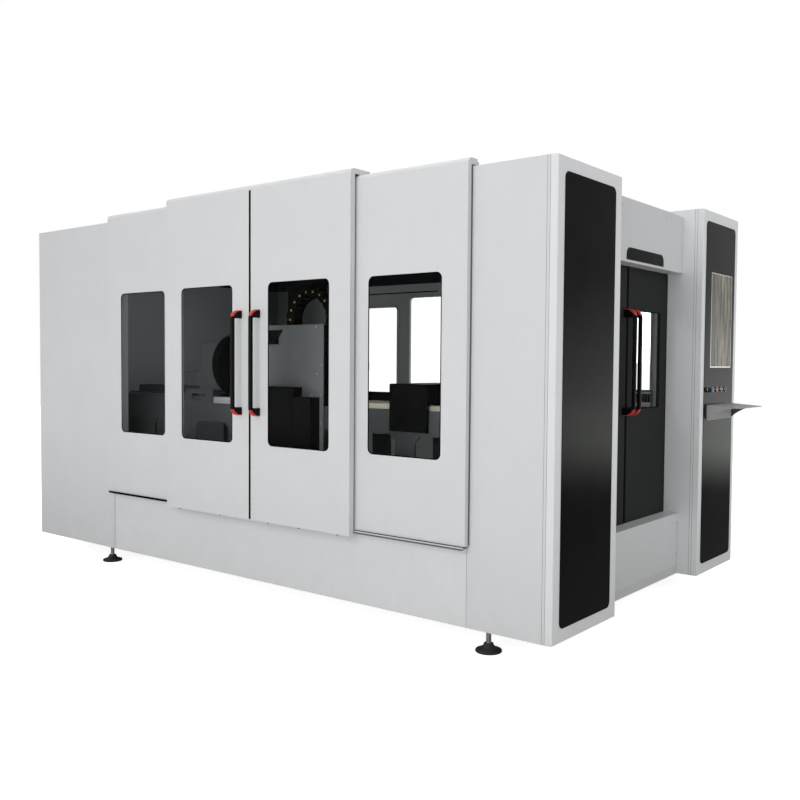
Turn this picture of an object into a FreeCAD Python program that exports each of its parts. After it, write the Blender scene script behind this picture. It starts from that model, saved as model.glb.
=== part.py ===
import FreeCAD, Part
import math
import os

# Enclosed fibre laser cutting machine for tubes. Millimetres, +Z up.
# +X runs to the operator's end, the sliding doors face -Y. The pieces are drawn round the
# centre of the body, and saved with the origin on the floor under the centre of the whole
# machine, tray and handles included. Everything is worked out from these driving sizes.

# ---- overall body -------------------------------------------------------------------
body_length = 3960.0
body_width = 2210.0
body_height = 2040.0
foot_height = 105.0
sheet = 2.0                    # wall of every folded panel
seat_gap = 0.3                 # clearance between pieces that slide or seat on each other
fold_radius = 5.0              # outer radius of the cover pans

# ---- plan of the shell --------------------------------------------------------------
left_cabinet_width = 864.0
column_front_width = 431.0
front_column_depth = 603.0     # along Y, at the operator's end
control_column_depth = 562.0
cover_depth = 35.0             # end covers of the two columns
header_setback = 115.0         # header and end sill behind the end covers
doorway_setback = 200.0        # end doors behind the end covers
jamb_depth = 100.0
stiffener = 30.0

# ---- heights of the shell -----------------------------------------------------------
sill_height = 415.0            # apron under the front doors
lintel_height = 90.0
header_drop = 39.0             # of the header's top below the roof
header_height = 311.0
header_inner_height = 105.0
ledge_rise = 344.0             # threshold of the end doorway above the body's underside
end_sill_lift = 50.0
window_sill = 329.0            # front windows above the apron
window_head = 452.0            # front windows below the roof

# ---- base frame and feet ------------------------------------------------------------
beam_width = 120.0
beam_height = 100.0
beam_wall = 6.0
foot_inset = 65.0              # foot axis from the front and rear faces
foot_left_reach = 128.0        # feet beyond the left end of the doors' opening
foot_right_reach = 79.0        # and beyond its right end
pad_radius = 60.0
pad_rim = 12.0
pad_height = 40.0
pad_hub_radius = 22.0
pad_hub_height = 6.0
stud_radius = 12.0
stud_length = 132.0
nut_size = 36.0                # across flats
nut_height = 18.0

# ---- black panels, header plate -----------------------------------------------------
panel_thickness = 3.0
panel_margin = 60.0            # above and below the panels
panel_corner = 30.0
front_panel_margin = (60.0, 67.0)
control_panel_margin = (44.0, 51.0)
plate_width = 456.0
plate_height = 61.0
plate_lift = 12.0              # above the header's lower edge
plate_shift = 16.5             # from the doorway's middle
plate_corner = 35.0

# ---- operator station ---------------------------------------------------------------
button_height = 1145.0
button_first = 54.0            # from the control panel's near edge
button_pitch = 70.0
button_radius = 10.7
button_travel = 3.5
button_stem = 6.0
button_bevel = 1.0
bezel_radius = 15.0
bezel_height = 5.0
knob_radius = 14.0
knob_skirt = 5.0
knob_grip = 15.0
knob_grip_width = 8.0
monitor_width = 337.0
monitor_height = 536.0
monitor_lift = 125.0           # above the row of buttons
monitor_inset = 83.0           # from the control panel's near edge
monitor_bezel = 7.0
monitor_proud = 1.5
tray_width = 407.0
tray_inset = 92.0
tray_depth = 180.0
tray_drop = 85.0               # below the row of buttons
tray_slope = 13.0
tray_cheek = 87.0
tray_sheet = 2.5

# ---- front sliding doors ------------------------------------------------------------
door_depth = 32.0
door_overlap = 60.0
door_lap = 12.0                # beyond the opening, at both ends
door_meeting_gap = 2.0
near_door_gap = 3.0            # behind the two outer doors
layer_gap = 13.0               # between the outer and the inner pair
outer_door_lap = 44.0          # over the apron
outer_door_rise = 36.0         # above the roof
outer_hook_reach = 71.0
outer_hook_depth = 28.0
inner_door_lap = 71.0
inner_door_rise = 63.0
inner_hook_reach = 141.0
inner_hook_depth = 25.0
door_bend = 28.0
window_width = 430.0
window_corner = 30.0
glass_thickness = 5.0
glass_lap = 20.0
rib_depth = 24.0
glide_length = 60.0
outer_rail_height = 5.0
outer_rail_width = 16.0
inner_rail_height = 25.0
inner_rail_width = 10.0
guide_thickness = 3.0
guide_lip = 12.0
guide_lift = 14.0              # of the channel's floor above the inner doors' lower wall

# ---- end doors ----------------------------------------------------------------------
leaf_depth = 30.0
leaf_low_lap = 19.0            # below the threshold's ledge
leaf_high_lap = 35.0           # above the header's lower edge
leaf_lap = 43.0                # behind the column, beyond the doorway
leaf_meeting_gap = 2.0
leaf_gap = 2.0                 # behind the doorway's inner edge
leaf_window_margin = 95.0      # from the column and from the meeting line
leaf_window_sill = 598.0       # above the ledge
leaf_window_head = 223.0       # below the header
leaf_window_corner = 8.0
track_width = 14.0
cover_lift = 6.0               # of the upper guide above the leaves
guide_skirt = 36.0             # its leg behind the leaves

# ---- bow handles --------------------------------------------------------------------
handle_height = 553.0
handle_reach = 69.0
handle_width = 30.0
handle_bar = 28.0
handle_corner = 52.0           # outer radius of its two bends
handle_chamfer = 7.0
front_handle_lift = 7.5        # above the windows' middle
front_handle_offset = 70.0
end_handle_drop = 14.5         # below the leaf windows' middle
end_handle_offset = 33.0

# ---- rear wall ----------------------------------------------------------------------
rear_window_first = 67.0       # from the left end of the doors' opening
rear_window_pitch = 559.0
rear_window_heads = (431.0, 364.0)   # below the roof
rear_window_width = 430.0
narrow_window_width = 200.0    # in the rear wall, opposite the end doors
narrow_window_inset = 100.0    # from the wall's right end
narrow_window_head = 364.0     # below the roof

# ---- bed and tube axis --------------------------------------------------------------
axis_setback = 480.0           # tube axis behind the front face
axis_height = 1265.0
bed_left_gap = 130.0
bed_right_lap = 51.0           # beyond the right end of the doors' opening
bed_width = 340.0
bed_drop = 220.0               # of the bed's top below the tube axis
bed_wall = 10.0
bed_window = (300.0, 210.0)
bed_window_pitch = 430.0
bed_window_clip = 35.0
bed_window_margin = 130.0      # below the lower row and above the upper one
rail_width = 30.0
rail_height = 25.0
rail_offset = 145.0
rail_end_gap = 20.0
rack_size = 24.0
rack_pitch = 30.0
rack_tooth = 7.0
trough_size = (70.0, 90.0)     # width and height of the cable trough behind the bed
trough_gap = 40.0              # from the bed
trough_rise = 70.0             # above the bed's top
trough_arm = 80.0              # height of its arms where they meet the bed
trough_post = 6.0              # plate of its posts and arms

# ---- front headstock: heights are above or below the tube axis ----------------------
head_offset = 296.5            # its left end, left of the doors' meeting line
head_length = 470.0
head_half_depth = 180.0        # in front of the axis, and behind it
head_rise = 228.0
cover_drop = 485.0
spindle_radius = 112.0
chuck_bore = 85.0
flange_radius = 150.0
flange_thickness = 36.0
flange_bevel = 4.0
collar_radius = 128.0
collar_thickness = 12.0
louvre_count = 8
louvre_pitch = 18.0
louvre_size = (170.0, 6.0)
louvre_inset = 210.0
louvre_drop = 10.0
bracket_thickness = 12.0
bracket_rise = 525.0
bracket_reach = 125.0          # of its upper part behind the axis
drive_depth = 75.0
drive_lift = 20.0              # above the cover's lower edge
drive_width = 305.0            # of the motor cover
drive_inset = 30.0             # of the valve cover from the headstock's right end
drive_drops = (119.0, 173.0)
sensor_size = (130.0, 12.0, 80.0)
sensor_inset = 20.0
sensor_rise = 120.0

# ---- jaws ---------------------------------------------------------------------------
jaw_count = 4
jaw_width = 44.0
jaw_inner = 75.0
jaw_outer = 135.0
jaw_thickness = 22.0
tongue_width = 20.0
tongue_depth = 12.0

# ---- cutting head: heights are above the tube axis ----------------------------------
slide_rail = (16.0, 14.0)      # reach along X and height of the two cross rails
slide_rail_rises = (310.0, 435.0)
slide_rail_length = 240.0
cross_width = 110.0
cross_rises = (280.0, 470.0)
cross_plate = 14.0
ram_width = 60.0
ram_depth = 32.0
ram_rises = (205.0, 535.0)
head_plate = 10.0
head_plate_rise = 275.0
head_radius = 24.0
head_rises = (185.0, 395.0)
collimator_radius = 20.0
collimator_rise = 495.0
nozzle_rise = 120.0
nozzle_radii = (5.0, 16.0)
nozzle_bore = 1.5
throat_height = 20.0

# ---- rear headstock -----------------------------------------------------------------
disc_gap = 390.0               # from the fixed headstock to the disc's face
disc_radius = 195.0
disc_thickness = 60.0
disc_bevel = 5.0
disc_groove = (8.0, 4.0)
disc_groove_pitch = 45.0
disc_grooves = 3               # above the axis, and below it
rear_spindle_radius = 80.0
rear_bore = 45.0
quill_length = 210.0
rear_block = (200.0, 240.0, 145.0)   # length, width, rise above the axis
saddle_length = 260.0
saddle_thickness = 25.0
saddle_lift = 15.0
saddle_setback = 20.0          # behind the disc's back face
slider = (60.0, 50.0)
slider_lift = 8.0

# ---- tail support -------------------------------------------------------------------
tail_gap = 473.0               # from the fixed headstock
tail_length = 240.0
tail_drop = 87.0               # of its top below the axis
tail_skirt = 110.0             # of its sides below the bed's top
tail_wall = 12.0
tail_side_gap = 8.0
tail_vent = 120.0

# ---- cable chain --------------------------------------------------------------------
chain_setback = 20.0           # its middle, left of the fixed headstock's left end
chain_rise = 283.0
chain_inner = 135.0
chain_outer = 199.0
chain_gap = 30.0               # behind the headstock
chain_width = 67.0
chain_links = 9
chain_link_gap = 2.5
chain_core = 4.0               # depth of the grooves between the links
chain_leg = 240.0
chain_bracket = (20.0, 60.0)

# ---- laser source -------------------------------------------------------------------
source_size = (700.0, 800.0, 1000.0)
source_left_gap = 80.0
source_rear_gap = 305.0

# ---- derived planes -----------------------------------------------------------------
x_left, x_right = -body_length / 2, body_length / 2
y_front, y_rear = -body_width / 2, body_width / 2
z_base, z_top = foot_height, foot_height + body_height
z_floor = z_base + beam_height
x_opening = x_left + left_cabinet_width
x_column = x_right - column_front_width
x_wall = x_right - cover_depth
x_header = x_right - header_setback
x_doorway = x_right - doorway_setback
y_near_jamb = y_front + front_column_depth
y_far_jamb = y_rear - control_column_depth
y_doorway = (y_near_jamb + y_far_jamb) / 2
x_meeting = (x_opening + x_column) / 2
foot_left_x, foot_right_x = x_opening - foot_left_reach, x_column + foot_right_reach
sill_top = z_base + sill_height
header_top = z_top - header_drop
header_bottom = header_top - header_height
header_inner_top = header_bottom + header_inner_height
ledge_height = z_base + ledge_rise
end_sill_bottom = z_base + end_sill_lift
panel_bottom, panel_top = z_base + panel_margin, z_top - panel_margin
panel_face = x_right + panel_thickness

door_width = (x_column - x_opening + 2 * door_lap + 2 * door_overlap - door_meeting_gap) / 4
outer_back = y_front - near_door_gap
outer_front = outer_back - door_depth
inner_back = outer_front - layer_gap
inner_front = inner_back - door_depth
outer_door_bottom, outer_door_top = sill_top - outer_door_lap, z_top + outer_door_rise
inner_door_bottom, inner_door_top = sill_top - inner_door_lap, z_top + inner_door_rise
window_bottom, window_top = sill_top + window_sill, z_top - window_head
front_handle_centre = (window_bottom + window_top) / 2 + front_handle_lift

leaf_front = x_doorway - leaf_gap
leaf_back = leaf_front - leaf_depth
leaf_bottom, leaf_top = ledge_height - leaf_low_lap, header_bottom + leaf_high_lap
leaf_window_bottom = ledge_height + leaf_window_sill
leaf_window_top = header_bottom - leaf_window_head
end_handle_centre = (leaf_window_bottom + leaf_window_top) / 2 - end_handle_drop

axis_y, axis_z = y_front + axis_setback, axis_height
bed_left, bed_right = x_left + bed_left_gap, x_column + bed_right_lap
bed_top = axis_z - bed_drop
deck_top = bed_top + rail_height + saddle_lift
head_left = x_meeting - head_offset
head_right = head_left + head_length
head_front, head_rear = axis_y - head_half_depth, axis_y + head_half_depth
head_top, cover_bottom = axis_z + head_rise, axis_z - cover_drop
flange_x = head_right + bracket_thickness + seat_gap
flange_face = flange_x + flange_thickness
disc_face = head_left - disc_gap
disc_back = disc_face - disc_thickness
carriage_x = head_right + bracket_thickness + slide_rail[0] + seat_gap
ram_x = carriage_x + cross_plate + ram_depth
chain_x, chain_z = head_left - chain_setback, axis_z + chain_rise
chain_front = head_rear + chain_gap

centre_x = (x_left + panel_face + tray_depth) / 2
centre_y = (inner_front - handle_reach + y_rear) / 2


def block(x0, x1, y0, y1, z0, z1):
    """Box between two corners."""
    return Part.makeBox(x1 - x0, y1 - y0, z1 - z0, FreeCAD.Vector(x0, y0, z0))


def rod(radius, start, end):
    """Cylinder from one point to another."""
    a, b = FreeCAD.Vector(*start), FreeCAD.Vector(*end)
    return Part.makeCylinder(radius, (b - a).Length, a, b - a)


def prism(points, direction):
    """Closed polygon pushed along a vector."""
    ring = [FreeCAD.Vector(*p) for p in points]
    return Part.Face(Part.makePolygon(ring + ring[:1])).extrude(FreeCAD.Vector(*direction))


def folded(path, wall, place, direction):
    """Sheet of one thickness folded along a square path; the wall lies left of the path."""
    inner = []
    for i, (u, v) in enumerate(path):
        offset_u, offset_v = 0.0, 0.0
        for a, b in ((i - 1, i), (i, i + 1)):
            if a < 0 or b >= len(path):
                continue
            du, dv = path[b][0] - path[a][0], path[b][1] - path[a][1]
            length = math.hypot(du, dv)
            offset_u -= wall * dv / length
            offset_v += wall * du / length
        inner.append((u + offset_u, v + offset_v))
    return prism([place(u, v) for u, v in path + inner[::-1]], direction)


def round_slab(u0, u1, z0, z1, radius, low, high, along):
    """Upright slab with rounded corners, between two planes of X or of Y."""
    if along == "x":
        slab = block(low, high, u0, u1, z0, z1)
    else:
        slab = block(u0, u1, low, high, z0, z1)
    edges = [e for e in slab.Edges if on_axis(e, along)]
    return slab.makeFillet(radius, edges)


def on_axis(edge, along):
    """True for an edge that runs along the named axis."""
    a, b = edge.Vertexes[0].Point, edge.Vertexes[-1].Point
    span = {"x": abs(a.x - b.x), "y": abs(a.y - b.y), "z": abs(a.z - b.z)}
    return span[along] > 1e-6 and sum(span.values()) - span[along] < 1e-6


def save(name, shape):
    """Write one sub-part, moved to the saved origin; a list is a group of separate solids."""
    if isinstance(shape, list):
        shape = Part.makeCompound(shape)
    shape.translated(FreeCAD.Vector(-centre_x, -centre_y, 0)).exportStep("parts/%s.step" % name)


# ---- base frame, feet ---------------------------------------------------------------

def frame_grid(inset):
    """Two long beams and their cross beams, shrunk by the tube wall for the hollow."""
    x0, x1 = x_left + sheet, x_header - sheet
    half = body_width / 2 - sheet
    z0, z1 = z_base + inset, z_floor - inset
    width = beam_width - 2 * inset
    bars = []
    for side in (-1, 1):
        centre = side * (half - beam_width / 2)
        bars.append(block(x0, x1, centre - width / 2, centre + width / 2, z0, z1))
    middle = (foot_left_x + foot_right_x) / 2
    for centre in (x0 + beam_width / 2, foot_left_x, middle, foot_right_x, x1 - beam_width / 2):
        bars.append(block(centre - width / 2, centre + width / 2, -half + inset, half - inset, z0, z1))
    return bars[0].multiFuse(bars[1:])


def base_frame():
    frame = frame_grid(0.0).removeSplitter().cut(frame_grid(beam_wall).removeSplitter())
    for x, y in foot_places():
        frame = frame.cut(rod(stud_radius + seat_gap, (x, y, z_base - 1), (x, y, z_base + beam_wall + 1)))
    return frame


def foot_places():
    y = body_width / 2 - foot_inset
    return [(x, side * y) for x in (foot_left_x, foot_right_x) for side in (-1, 1)]


def foot_pad(x, y):
    """Dished disc with a socket for the stud."""
    hub_z = pad_height - pad_hub_height
    outline = [(0, 0), (pad_radius, 0), (pad_radius, pad_rim), (pad_hub_radius, hub_z),
               (pad_hub_radius, pad_height), (0, pad_height)]
    pad = Part.Face(Part.makePolygon([FreeCAD.Vector(r, 0, z) for r, z in outline + outline[:1]]))
    pad = pad.revolve(FreeCAD.Vector(0, 0, 0), FreeCAD.Vector(0, 0, 1), 360)
    pad = pad.cut(rod(stud_radius + seat_gap, (0, 0, pad_height - pad_rim), (0, 0, pad_height + 1)))
    return pad.translated(FreeCAD.Vector(x, y, 0))


def foot_stud(x, y):
    """Threaded stud and its lock nut under the beam."""
    foot = pad_height - pad_rim + seat_gap
    stud = rod(stud_radius, (x, y, foot), (x, y, foot + stud_length))
    corner_radius = nut_size / 2 / math.cos(math.pi / 6)
    corners = [(x + corner_radius * math.cos(k * math.pi / 3),
                y + corner_radius * math.sin(k * math.pi / 3), z_base - nut_height) for k in range(6)]
    return stud.fuse(prism(corners, (0, 0, nut_height)))


# ---- shell --------------------------------------------------------------------------

def upright(path):
    """Sheet folded round a path in plan, from the base to under the roof, notched over the beams."""
    shell = folded(path, sheet, lambda u, v: (u, v, z_base), (0, 0, body_height - sheet))
    return shell.cut(frame_grid(0.0))


def left_cabinet():
    """Front face with its door jamb, and the left end, as one folded shell."""
    path = [(x_opening, y_front + jamb_depth), (x_opening, y_front), (x_left, y_front),
            (x_left, y_rear), (x_left + stiffener, y_rear)]
    return upright(path[::-1])


def front_column():
    path = [(x_column, y_front + jamb_depth), (x_column, y_front), (x_wall, y_front),
            (x_wall, y_near_jamb), (x_doorway, y_near_jamb)]
    return upright(path)


def control_column():
    path = [(x_doorway, y_far_jamb), (x_wall, y_far_jamb), (x_wall, y_rear), (x_column, y_rear),
            (x_column, y_rear - stiffener)]
    return upright(path)


def rear_window_places():
    """Left edge, right edge and top of each rear window."""
    places = []
    for k, head in enumerate(rear_window_heads):
        left = x_opening + rear_window_first + k * rear_window_pitch
        places.append((left, left + rear_window_width, z_top - head))
    right = x_column - narrow_window_inset
    return places + [(right - narrow_window_width, right, z_top - narrow_window_head)]


def rear_wall():
    """Flat wall with folded edges, two wide windows and a narrow one."""
    x0, x1 = x_left + stiffener + seat_gap, x_column - seat_gap
    path = [(x1, y_rear - stiffener), (x1, y_rear), (x0, y_rear), (x0, y_rear - stiffener)]
    wall = upright(path)
    for left, right, top in rear_window_places():
        wall = wall.cut(round_slab(left, right, window_bottom, top, window_corner,
                                   y_rear - sheet - 1, y_rear + 1, "y"))
    return wall


def rear_glass():
    """One pane behind each rear window."""
    return [round_slab(left - glass_lap, right + glass_lap, window_bottom - glass_lap,
                       top + glass_lap, window_corner, y_rear - sheet - glass_thickness,
                       y_rear - sheet, "y")
            for left, right, top in rear_window_places()]


def roof_panel():
    """Roof with a lintel folded down over the doors and a lip down to the end header."""
    outline = [(x_left, y_front), (x_wall, y_front), (x_wall, y_near_jamb), (x_doorway, y_near_jamb),
               (x_doorway, y_far_jamb), (x_wall, y_far_jamb), (x_wall, y_rear), (x_left, y_rear)]
    roof = prism([(x, y, z_top - sheet) for x, y in outline], (0, 0, sheet))
    lintel = block(x_opening + seat_gap, x_column - seat_gap, y_front, y_front + sheet,
                   z_top - lintel_height, z_top - sheet)
    lip = block(x_doorway - sheet, x_doorway, y_near_jamb + seat_gap, y_far_jamb - seat_gap,
                header_top, z_top - sheet)
    return roof.fuse([lintel, lip]).removeSplitter()


def front_sill():
    """Apron below the doors, with a flange folded inwards at its top."""
    path = [(y_front, z_base), (y_front, sill_top), (y_front + 2 * stiffener, sill_top)]
    length = x_column - x_opening - 2 * seat_gap
    return folded(path[::-1], sheet, lambda u, v: (x_opening + seat_gap, u, v), (length, 0, 0))


def header_panel():
    """Box header over the end doorway; its inner leg carries the upper door channel."""
    path = [(x_doorway, header_inner_top), (x_doorway, header_bottom), (x_header, header_bottom),
            (x_header, header_top), (x_doorway - sheet, header_top)]
    width = y_far_jamb - y_near_jamb - 2 * seat_gap
    return folded(path, sheet, lambda u, v: (u, y_near_jamb + seat_gap, v), (0, width, 0))


def end_sill():
    """Threshold of the end doorway: outer face, ledge and inner leg."""
    path = [(x_header, end_sill_bottom), (x_header, ledge_height), (x_doorway, ledge_height),
            (x_doorway, z_floor)]
    width = y_far_jamb - y_near_jamb - 2 * seat_gap
    return folded(path, sheet, lambda u, v: (u, y_near_jamb + seat_gap, v), (0, width, 0))


def cover_pan(y0, y1):
    """End cover of a column: a pan with rounded edges, open towards the column."""
    pan = block(x_wall - fold_radius, x_right, y0, y1, z_base, z_top)
    edges = [e for e in pan.Edges if all(abs(v.Point.x - x_right) < 1e-6 for v in e.Vertexes)]
    pan = pan.makeFillet(fold_radius, edges)
    pan = pan.cut(block(x_wall - 2 * fold_radius, x_wall, y0 - 1, y1 + 1, z_base - 1, z_top + 1))
    return pan.cut(block(x_wall - 1, x_right - sheet, y0 + sheet, y1 - sheet,
                         z_base + sheet, z_top - sheet))


def front_column_panel():
    y0, y1 = y_front + front_panel_margin[0], y_near_jamb - front_panel_margin[1]
    return round_slab(y0, y1, panel_bottom, panel_top, panel_corner, x_right, panel_face, "x")


def header_plate():
    """Dark plate on the header, rounded at its two upper corners."""
    y0 = y_doorway + plate_shift - plate_width / 2
    z0 = header_bottom + plate_lift
    z1 = z0 + plate_height
    plate = block(x_header, x_header + panel_thickness, y0, y0 + plate_width, z0, z1)
    upper = [e for e in plate.Edges if on_axis(e, "x") and e.Vertexes[0].Point.z > z1 - 1]
    return plate.makeFillet(plate_corner, upper)


# ---- operator station ---------------------------------------------------------------

def control_panel_span():
    return y_far_jamb + control_panel_margin[0], y_rear - control_panel_margin[1]


def monitor_window():
    left, low = control_panel_span()[0] + monitor_inset, button_height + monitor_lift
    return left, left + monitor_width, low, low + monitor_height


def button_places():
    first = control_panel_span()[0] + button_first
    return [first + k * button_pitch for k in range(5)]


def station_cutouts(shape):
    """Monitor opening and button holes, cut through a panel or the cover behind it."""
    y0, y1, z0, z1 = monitor_window()
    behind = x_right - 2 * fold_radius
    shape = shape.cut(block(behind, panel_face + 1, y0 - seat_gap, y1 + seat_gap,
                            z0 - seat_gap, z1 + seat_gap))
    for y in button_places():
        shape = shape.cut(rod(button_radius + seat_gap, (behind, y, button_height),
                              (panel_face + 1, y, button_height)))
    return shape


def control_panel():
    y0, y1 = control_panel_span()
    slab = round_slab(y0, y1, panel_bottom, panel_top, panel_corner, x_right, panel_face, "x")
    return station_cutouts(slab)


def monitor():
    """Upright monitor with a raised bezel round the screen."""
    y0, y1, z0, z1 = monitor_window()
    face = panel_face + monitor_proud
    body = block(x_wall + seat_gap, face, y0, y1, z0, z1)
    return body.cut(block(face - monitor_proud, face + 1, y0 + monitor_bezel, y1 - monitor_bezel,
                          z0 + monitor_bezel, z1 - monitor_bezel))


def button_bezel(y):
    ring = rod(bezel_radius, (panel_face, y, button_height), (panel_face + bezel_height, y, button_height))
    ring = ring.makeChamfer(button_bevel, [e for e in ring.Edges if e.Length > bezel_radius
                                           and e.CenterOfMass.x > panel_face + 1])
    return ring.cut(rod(button_radius + seat_gap, (panel_face - 1, y, button_height),
                        (panel_face + bezel_height + 1, y, button_height)))


def button(y):
    """Push-button cap with a broken rim; its stem runs in the bezel."""
    tip = panel_face + bezel_height + button_travel + seat_gap
    cap = rod(button_radius, (x_right - button_stem, y, button_height), (tip, y, button_height))
    return cap.makeChamfer(button_bevel, [e for e in cap.Edges if e.Length > button_radius
                                          and e.CenterOfMass.x > tip - 1])


def selector_knob(y):
    """Rotary knob with a raised grip bar."""
    seat = panel_face + bezel_height + seat_gap
    base, tip = seat + knob_skirt, seat + knob_skirt + knob_grip
    stem = rod(button_radius, (x_right - button_stem, y, button_height), (seat, y, button_height))
    skirt = rod(knob_radius, (seat, y, button_height), (base, y, button_height))
    half_width, half_height = knob_grip_width / 2, knob_radius - button_bevel
    grip = block(base, tip, y - half_width, y + half_width, button_height - half_height,
                 button_height + half_height)
    grip = grip.makeFillet(half_width - button_bevel, [e for e in grip.Edges if on_axis(e, "x")])
    return stem.fuse([skirt, grip])


def keyboard_tray():
    """Sloping shelf with two cheeks, curved along their lower edges, and a back plate."""
    y0 = y_far_jamb + tray_inset
    y1 = y0 + tray_width
    x0, x1 = panel_face, panel_face + tray_depth
    z0 = button_height - tray_drop
    z1 = z0 - tray_slope
    shelf = prism([(x0, y0, z0), (x1, y0, z1), (x1, y0, z1 - tray_sheet), (x0, y0, z0 - tray_sheet)],
                  (0, tray_width, 0))
    back_end = min(y1, control_panel_span()[1])
    back = block(x0, x0 + tray_sheet, y0, back_end, z0 - tray_cheek, z0)
    low, tip = FreeCAD.Vector(x0, y0, z0 - tray_cheek), FreeCAD.Vector(x1, y0, z1 - tray_sheet)
    sag = FreeCAD.Vector(x0 + 0.45 * tray_depth, y0, z0 - 0.36 * tray_cheek)
    edges = [Part.Arc(low, sag, tip).toShape(),
             Part.makeLine(tip, FreeCAD.Vector(x1, y0, z1)),
             Part.makeLine(FreeCAD.Vector(x1, y0, z1), FreeCAD.Vector(x0, y0, z0)),
             Part.makeLine(FreeCAD.Vector(x0, y0, z0), low)]
    cheek = Part.Face(Part.Wire(edges)).extrude(FreeCAD.Vector(0, tray_sheet, 0))
    far_cheek = cheek.translated(FreeCAD.Vector(0, tray_width - tray_sheet, 0))
    return shelf.fuse([back, cheek, far_cheek]).removeSplitter()


# ---- bow handles --------------------------------------------------------------------

def bow_handle():
    """Chamfered bar bent into a bow on the plane Y = 0, reaching to -Y, centred on X = Z = 0."""
    half, side = handle_height / 2, handle_width / 2
    outer = block(-side, side, -handle_reach, 0, -half, half)
    corners = [e for e in outer.Edges if on_axis(e, "x") and e.Vertexes[0].Point.y < -1]
    outer = outer.makeFillet(handle_corner, corners)
    half -= handle_bar
    inner = block(-handle_width, handle_width, handle_bar - handle_reach, 1, -half, half)
    corners = [e for e in inner.Edges if on_axis(e, "x") and e.Vertexes[0].Point.y < 0]
    bow = outer.cut(inner.makeFillet(handle_corner - handle_bar, corners))
    rims = [e for e in bow.Edges if abs(abs(e.CenterOfMass.x) - side) < 1e-6
            and e.CenterOfMass.y < -1]
    return bow.makeChamfer(handle_chamfer, rims)


def front_handle(x):
    return bow_handle().translated(FreeCAD.Vector(x, inner_front, front_handle_centre))


def end_handle(y):
    handle = bow_handle()
    handle.rotate(FreeCAD.Vector(0, 0, 0), FreeCAD.Vector(0, 0, 1), 90)
    return handle.translated(FreeCAD.Vector(leaf_front, y, end_handle_centre))


# ---- front sliding doors ------------------------------------------------------------

def door_left_edges():
    """Left edges of the four doors, from the left."""
    inner_left = x_meeting - door_meeting_gap / 2 - door_width
    inner_right = x_meeting + door_meeting_gap / 2
    return [inner_left - door_width + door_overlap, inner_left, inner_right,
            inner_right + door_width - door_overlap]


def stepped_slab(x0, x1, front, back, top_back, z0, z1, step_z, radius):
    """Upright slab with a rounded front top edge; above the step it may be less deep."""
    lower = block(x0, x1, front, back, z0, step_z)
    body = lower.fuse(block(x0, x1, front, top_back, step_z, z1)).removeSplitter()
    bend = [e for e in body.Edges if on_axis(e, "x") and abs(e.Vertexes[0].Point.y - front) < 1e-6
            and abs(e.Vertexes[0].Point.z - z1) < 1e-6]
    return body.makeFillet(radius, bend)


def door_pan(left, front, z0, z1, hook_depth):
    """Door pan: skin, side returns, rounded closed top, and a rib round the window glass."""
    back, right, hook_z = front + door_depth, left + door_width, z1 - hook_depth
    pan = stepped_slab(left, right, front, back, back, z0, z1, hook_z, door_bend)
    hollow = stepped_slab(left + sheet, right - sheet, front + sheet, back + 1, back - sheet,
                          z0 + sheet, z1 - sheet, hook_z, door_bend - sheet)
    pan = pan.cut(hollow)
    w0, w1 = window_span(left)
    rim = round_slab(w0 - glass_lap - sheet - seat_gap, w1 + glass_lap + sheet + seat_gap,
                     window_bottom - glass_lap - sheet - seat_gap,
                     window_top + glass_lap + sheet + seat_gap,
                     window_corner, front + sheet, front + sheet + rib_depth, "y")
    well = round_slab(w0 - glass_lap - seat_gap, w1 + glass_lap + seat_gap,
                      window_bottom - glass_lap - seat_gap, window_top + glass_lap + seat_gap,
                      window_corner - sheet, front + sheet, back, "y")
    opening = round_slab(w0, w1, window_bottom, window_top, window_corner, front - 1, back, "y")
    return pan.fuse(rim.cut(well)).cut(opening)


def window_span(left):
    """Left and right edge of a door's window."""
    margin = (door_width - window_width) / 2
    return left + margin, left + margin + window_width


def hanger(left, front, z1, hook_reach, hook_depth):
    """Folded channel, open below, that carries the pan's top back over the roof."""
    y0, y1 = front + door_depth, front + hook_reach
    right, hook_z = left + door_width, z1 - hook_depth
    channel = block(left, right, y0, y1, hook_z, z1)
    return channel.cut(block(left + sheet, right - sheet, y0 + sheet, y1 - sheet, hook_z - 1,
                             z1 - sheet))


def outer_door(left):
    """Outer pair: glides on the low roof rail and shoes in the channel along the sill."""
    pieces = [door_pan(left, outer_front, outer_door_bottom, outer_door_top, outer_hook_depth),
              hanger(left, outer_front, outer_door_top, outer_hook_reach, outer_hook_depth)]
    y0, y1 = outer_rail_span()
    rail_top = z_top + outer_rail_height + seat_gap
    shoe_bottom = guide_floor() + seat_gap
    for x in glide_places(left):
        pieces.append(block(x, x + glide_length, y0, y1, rail_top, outer_door_top - sheet))
        pieces.append(block(x, x + glide_length, outer_front + 2 * sheet, outer_back - 2 * sheet,
                            shoe_bottom, outer_door_bottom))
    return pieces


def inner_door(left):
    """Inner pair: glides on the tall roof rail and shoes against the lip of the sill channel."""
    pieces = [door_pan(left, inner_front, inner_door_bottom, inner_door_top, inner_hook_depth),
              hanger(left, inner_front, inner_door_top, inner_hook_reach, inner_hook_depth)]
    y0, y1 = inner_rail_span()
    rail_top = z_top + inner_rail_height + seat_gap
    floor = guide_floor()
    for x in glide_places(left):
        pieces.append(block(x, x + glide_length, y0, y1, rail_top, inner_door_top - sheet))
        pieces.append(block(x, x + glide_length, inner_front + sheet, guide_front() - seat_gap,
                            floor, floor + guide_lip))
    return pieces


def glide_places(left):
    return [left + glide_length, left + door_width - 2 * glide_length]


def outer_rail_span():
    middle = (outer_front + outer_hook_reach + outer_back) / 2
    return middle - outer_rail_width / 2, middle + outer_rail_width / 2


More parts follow.
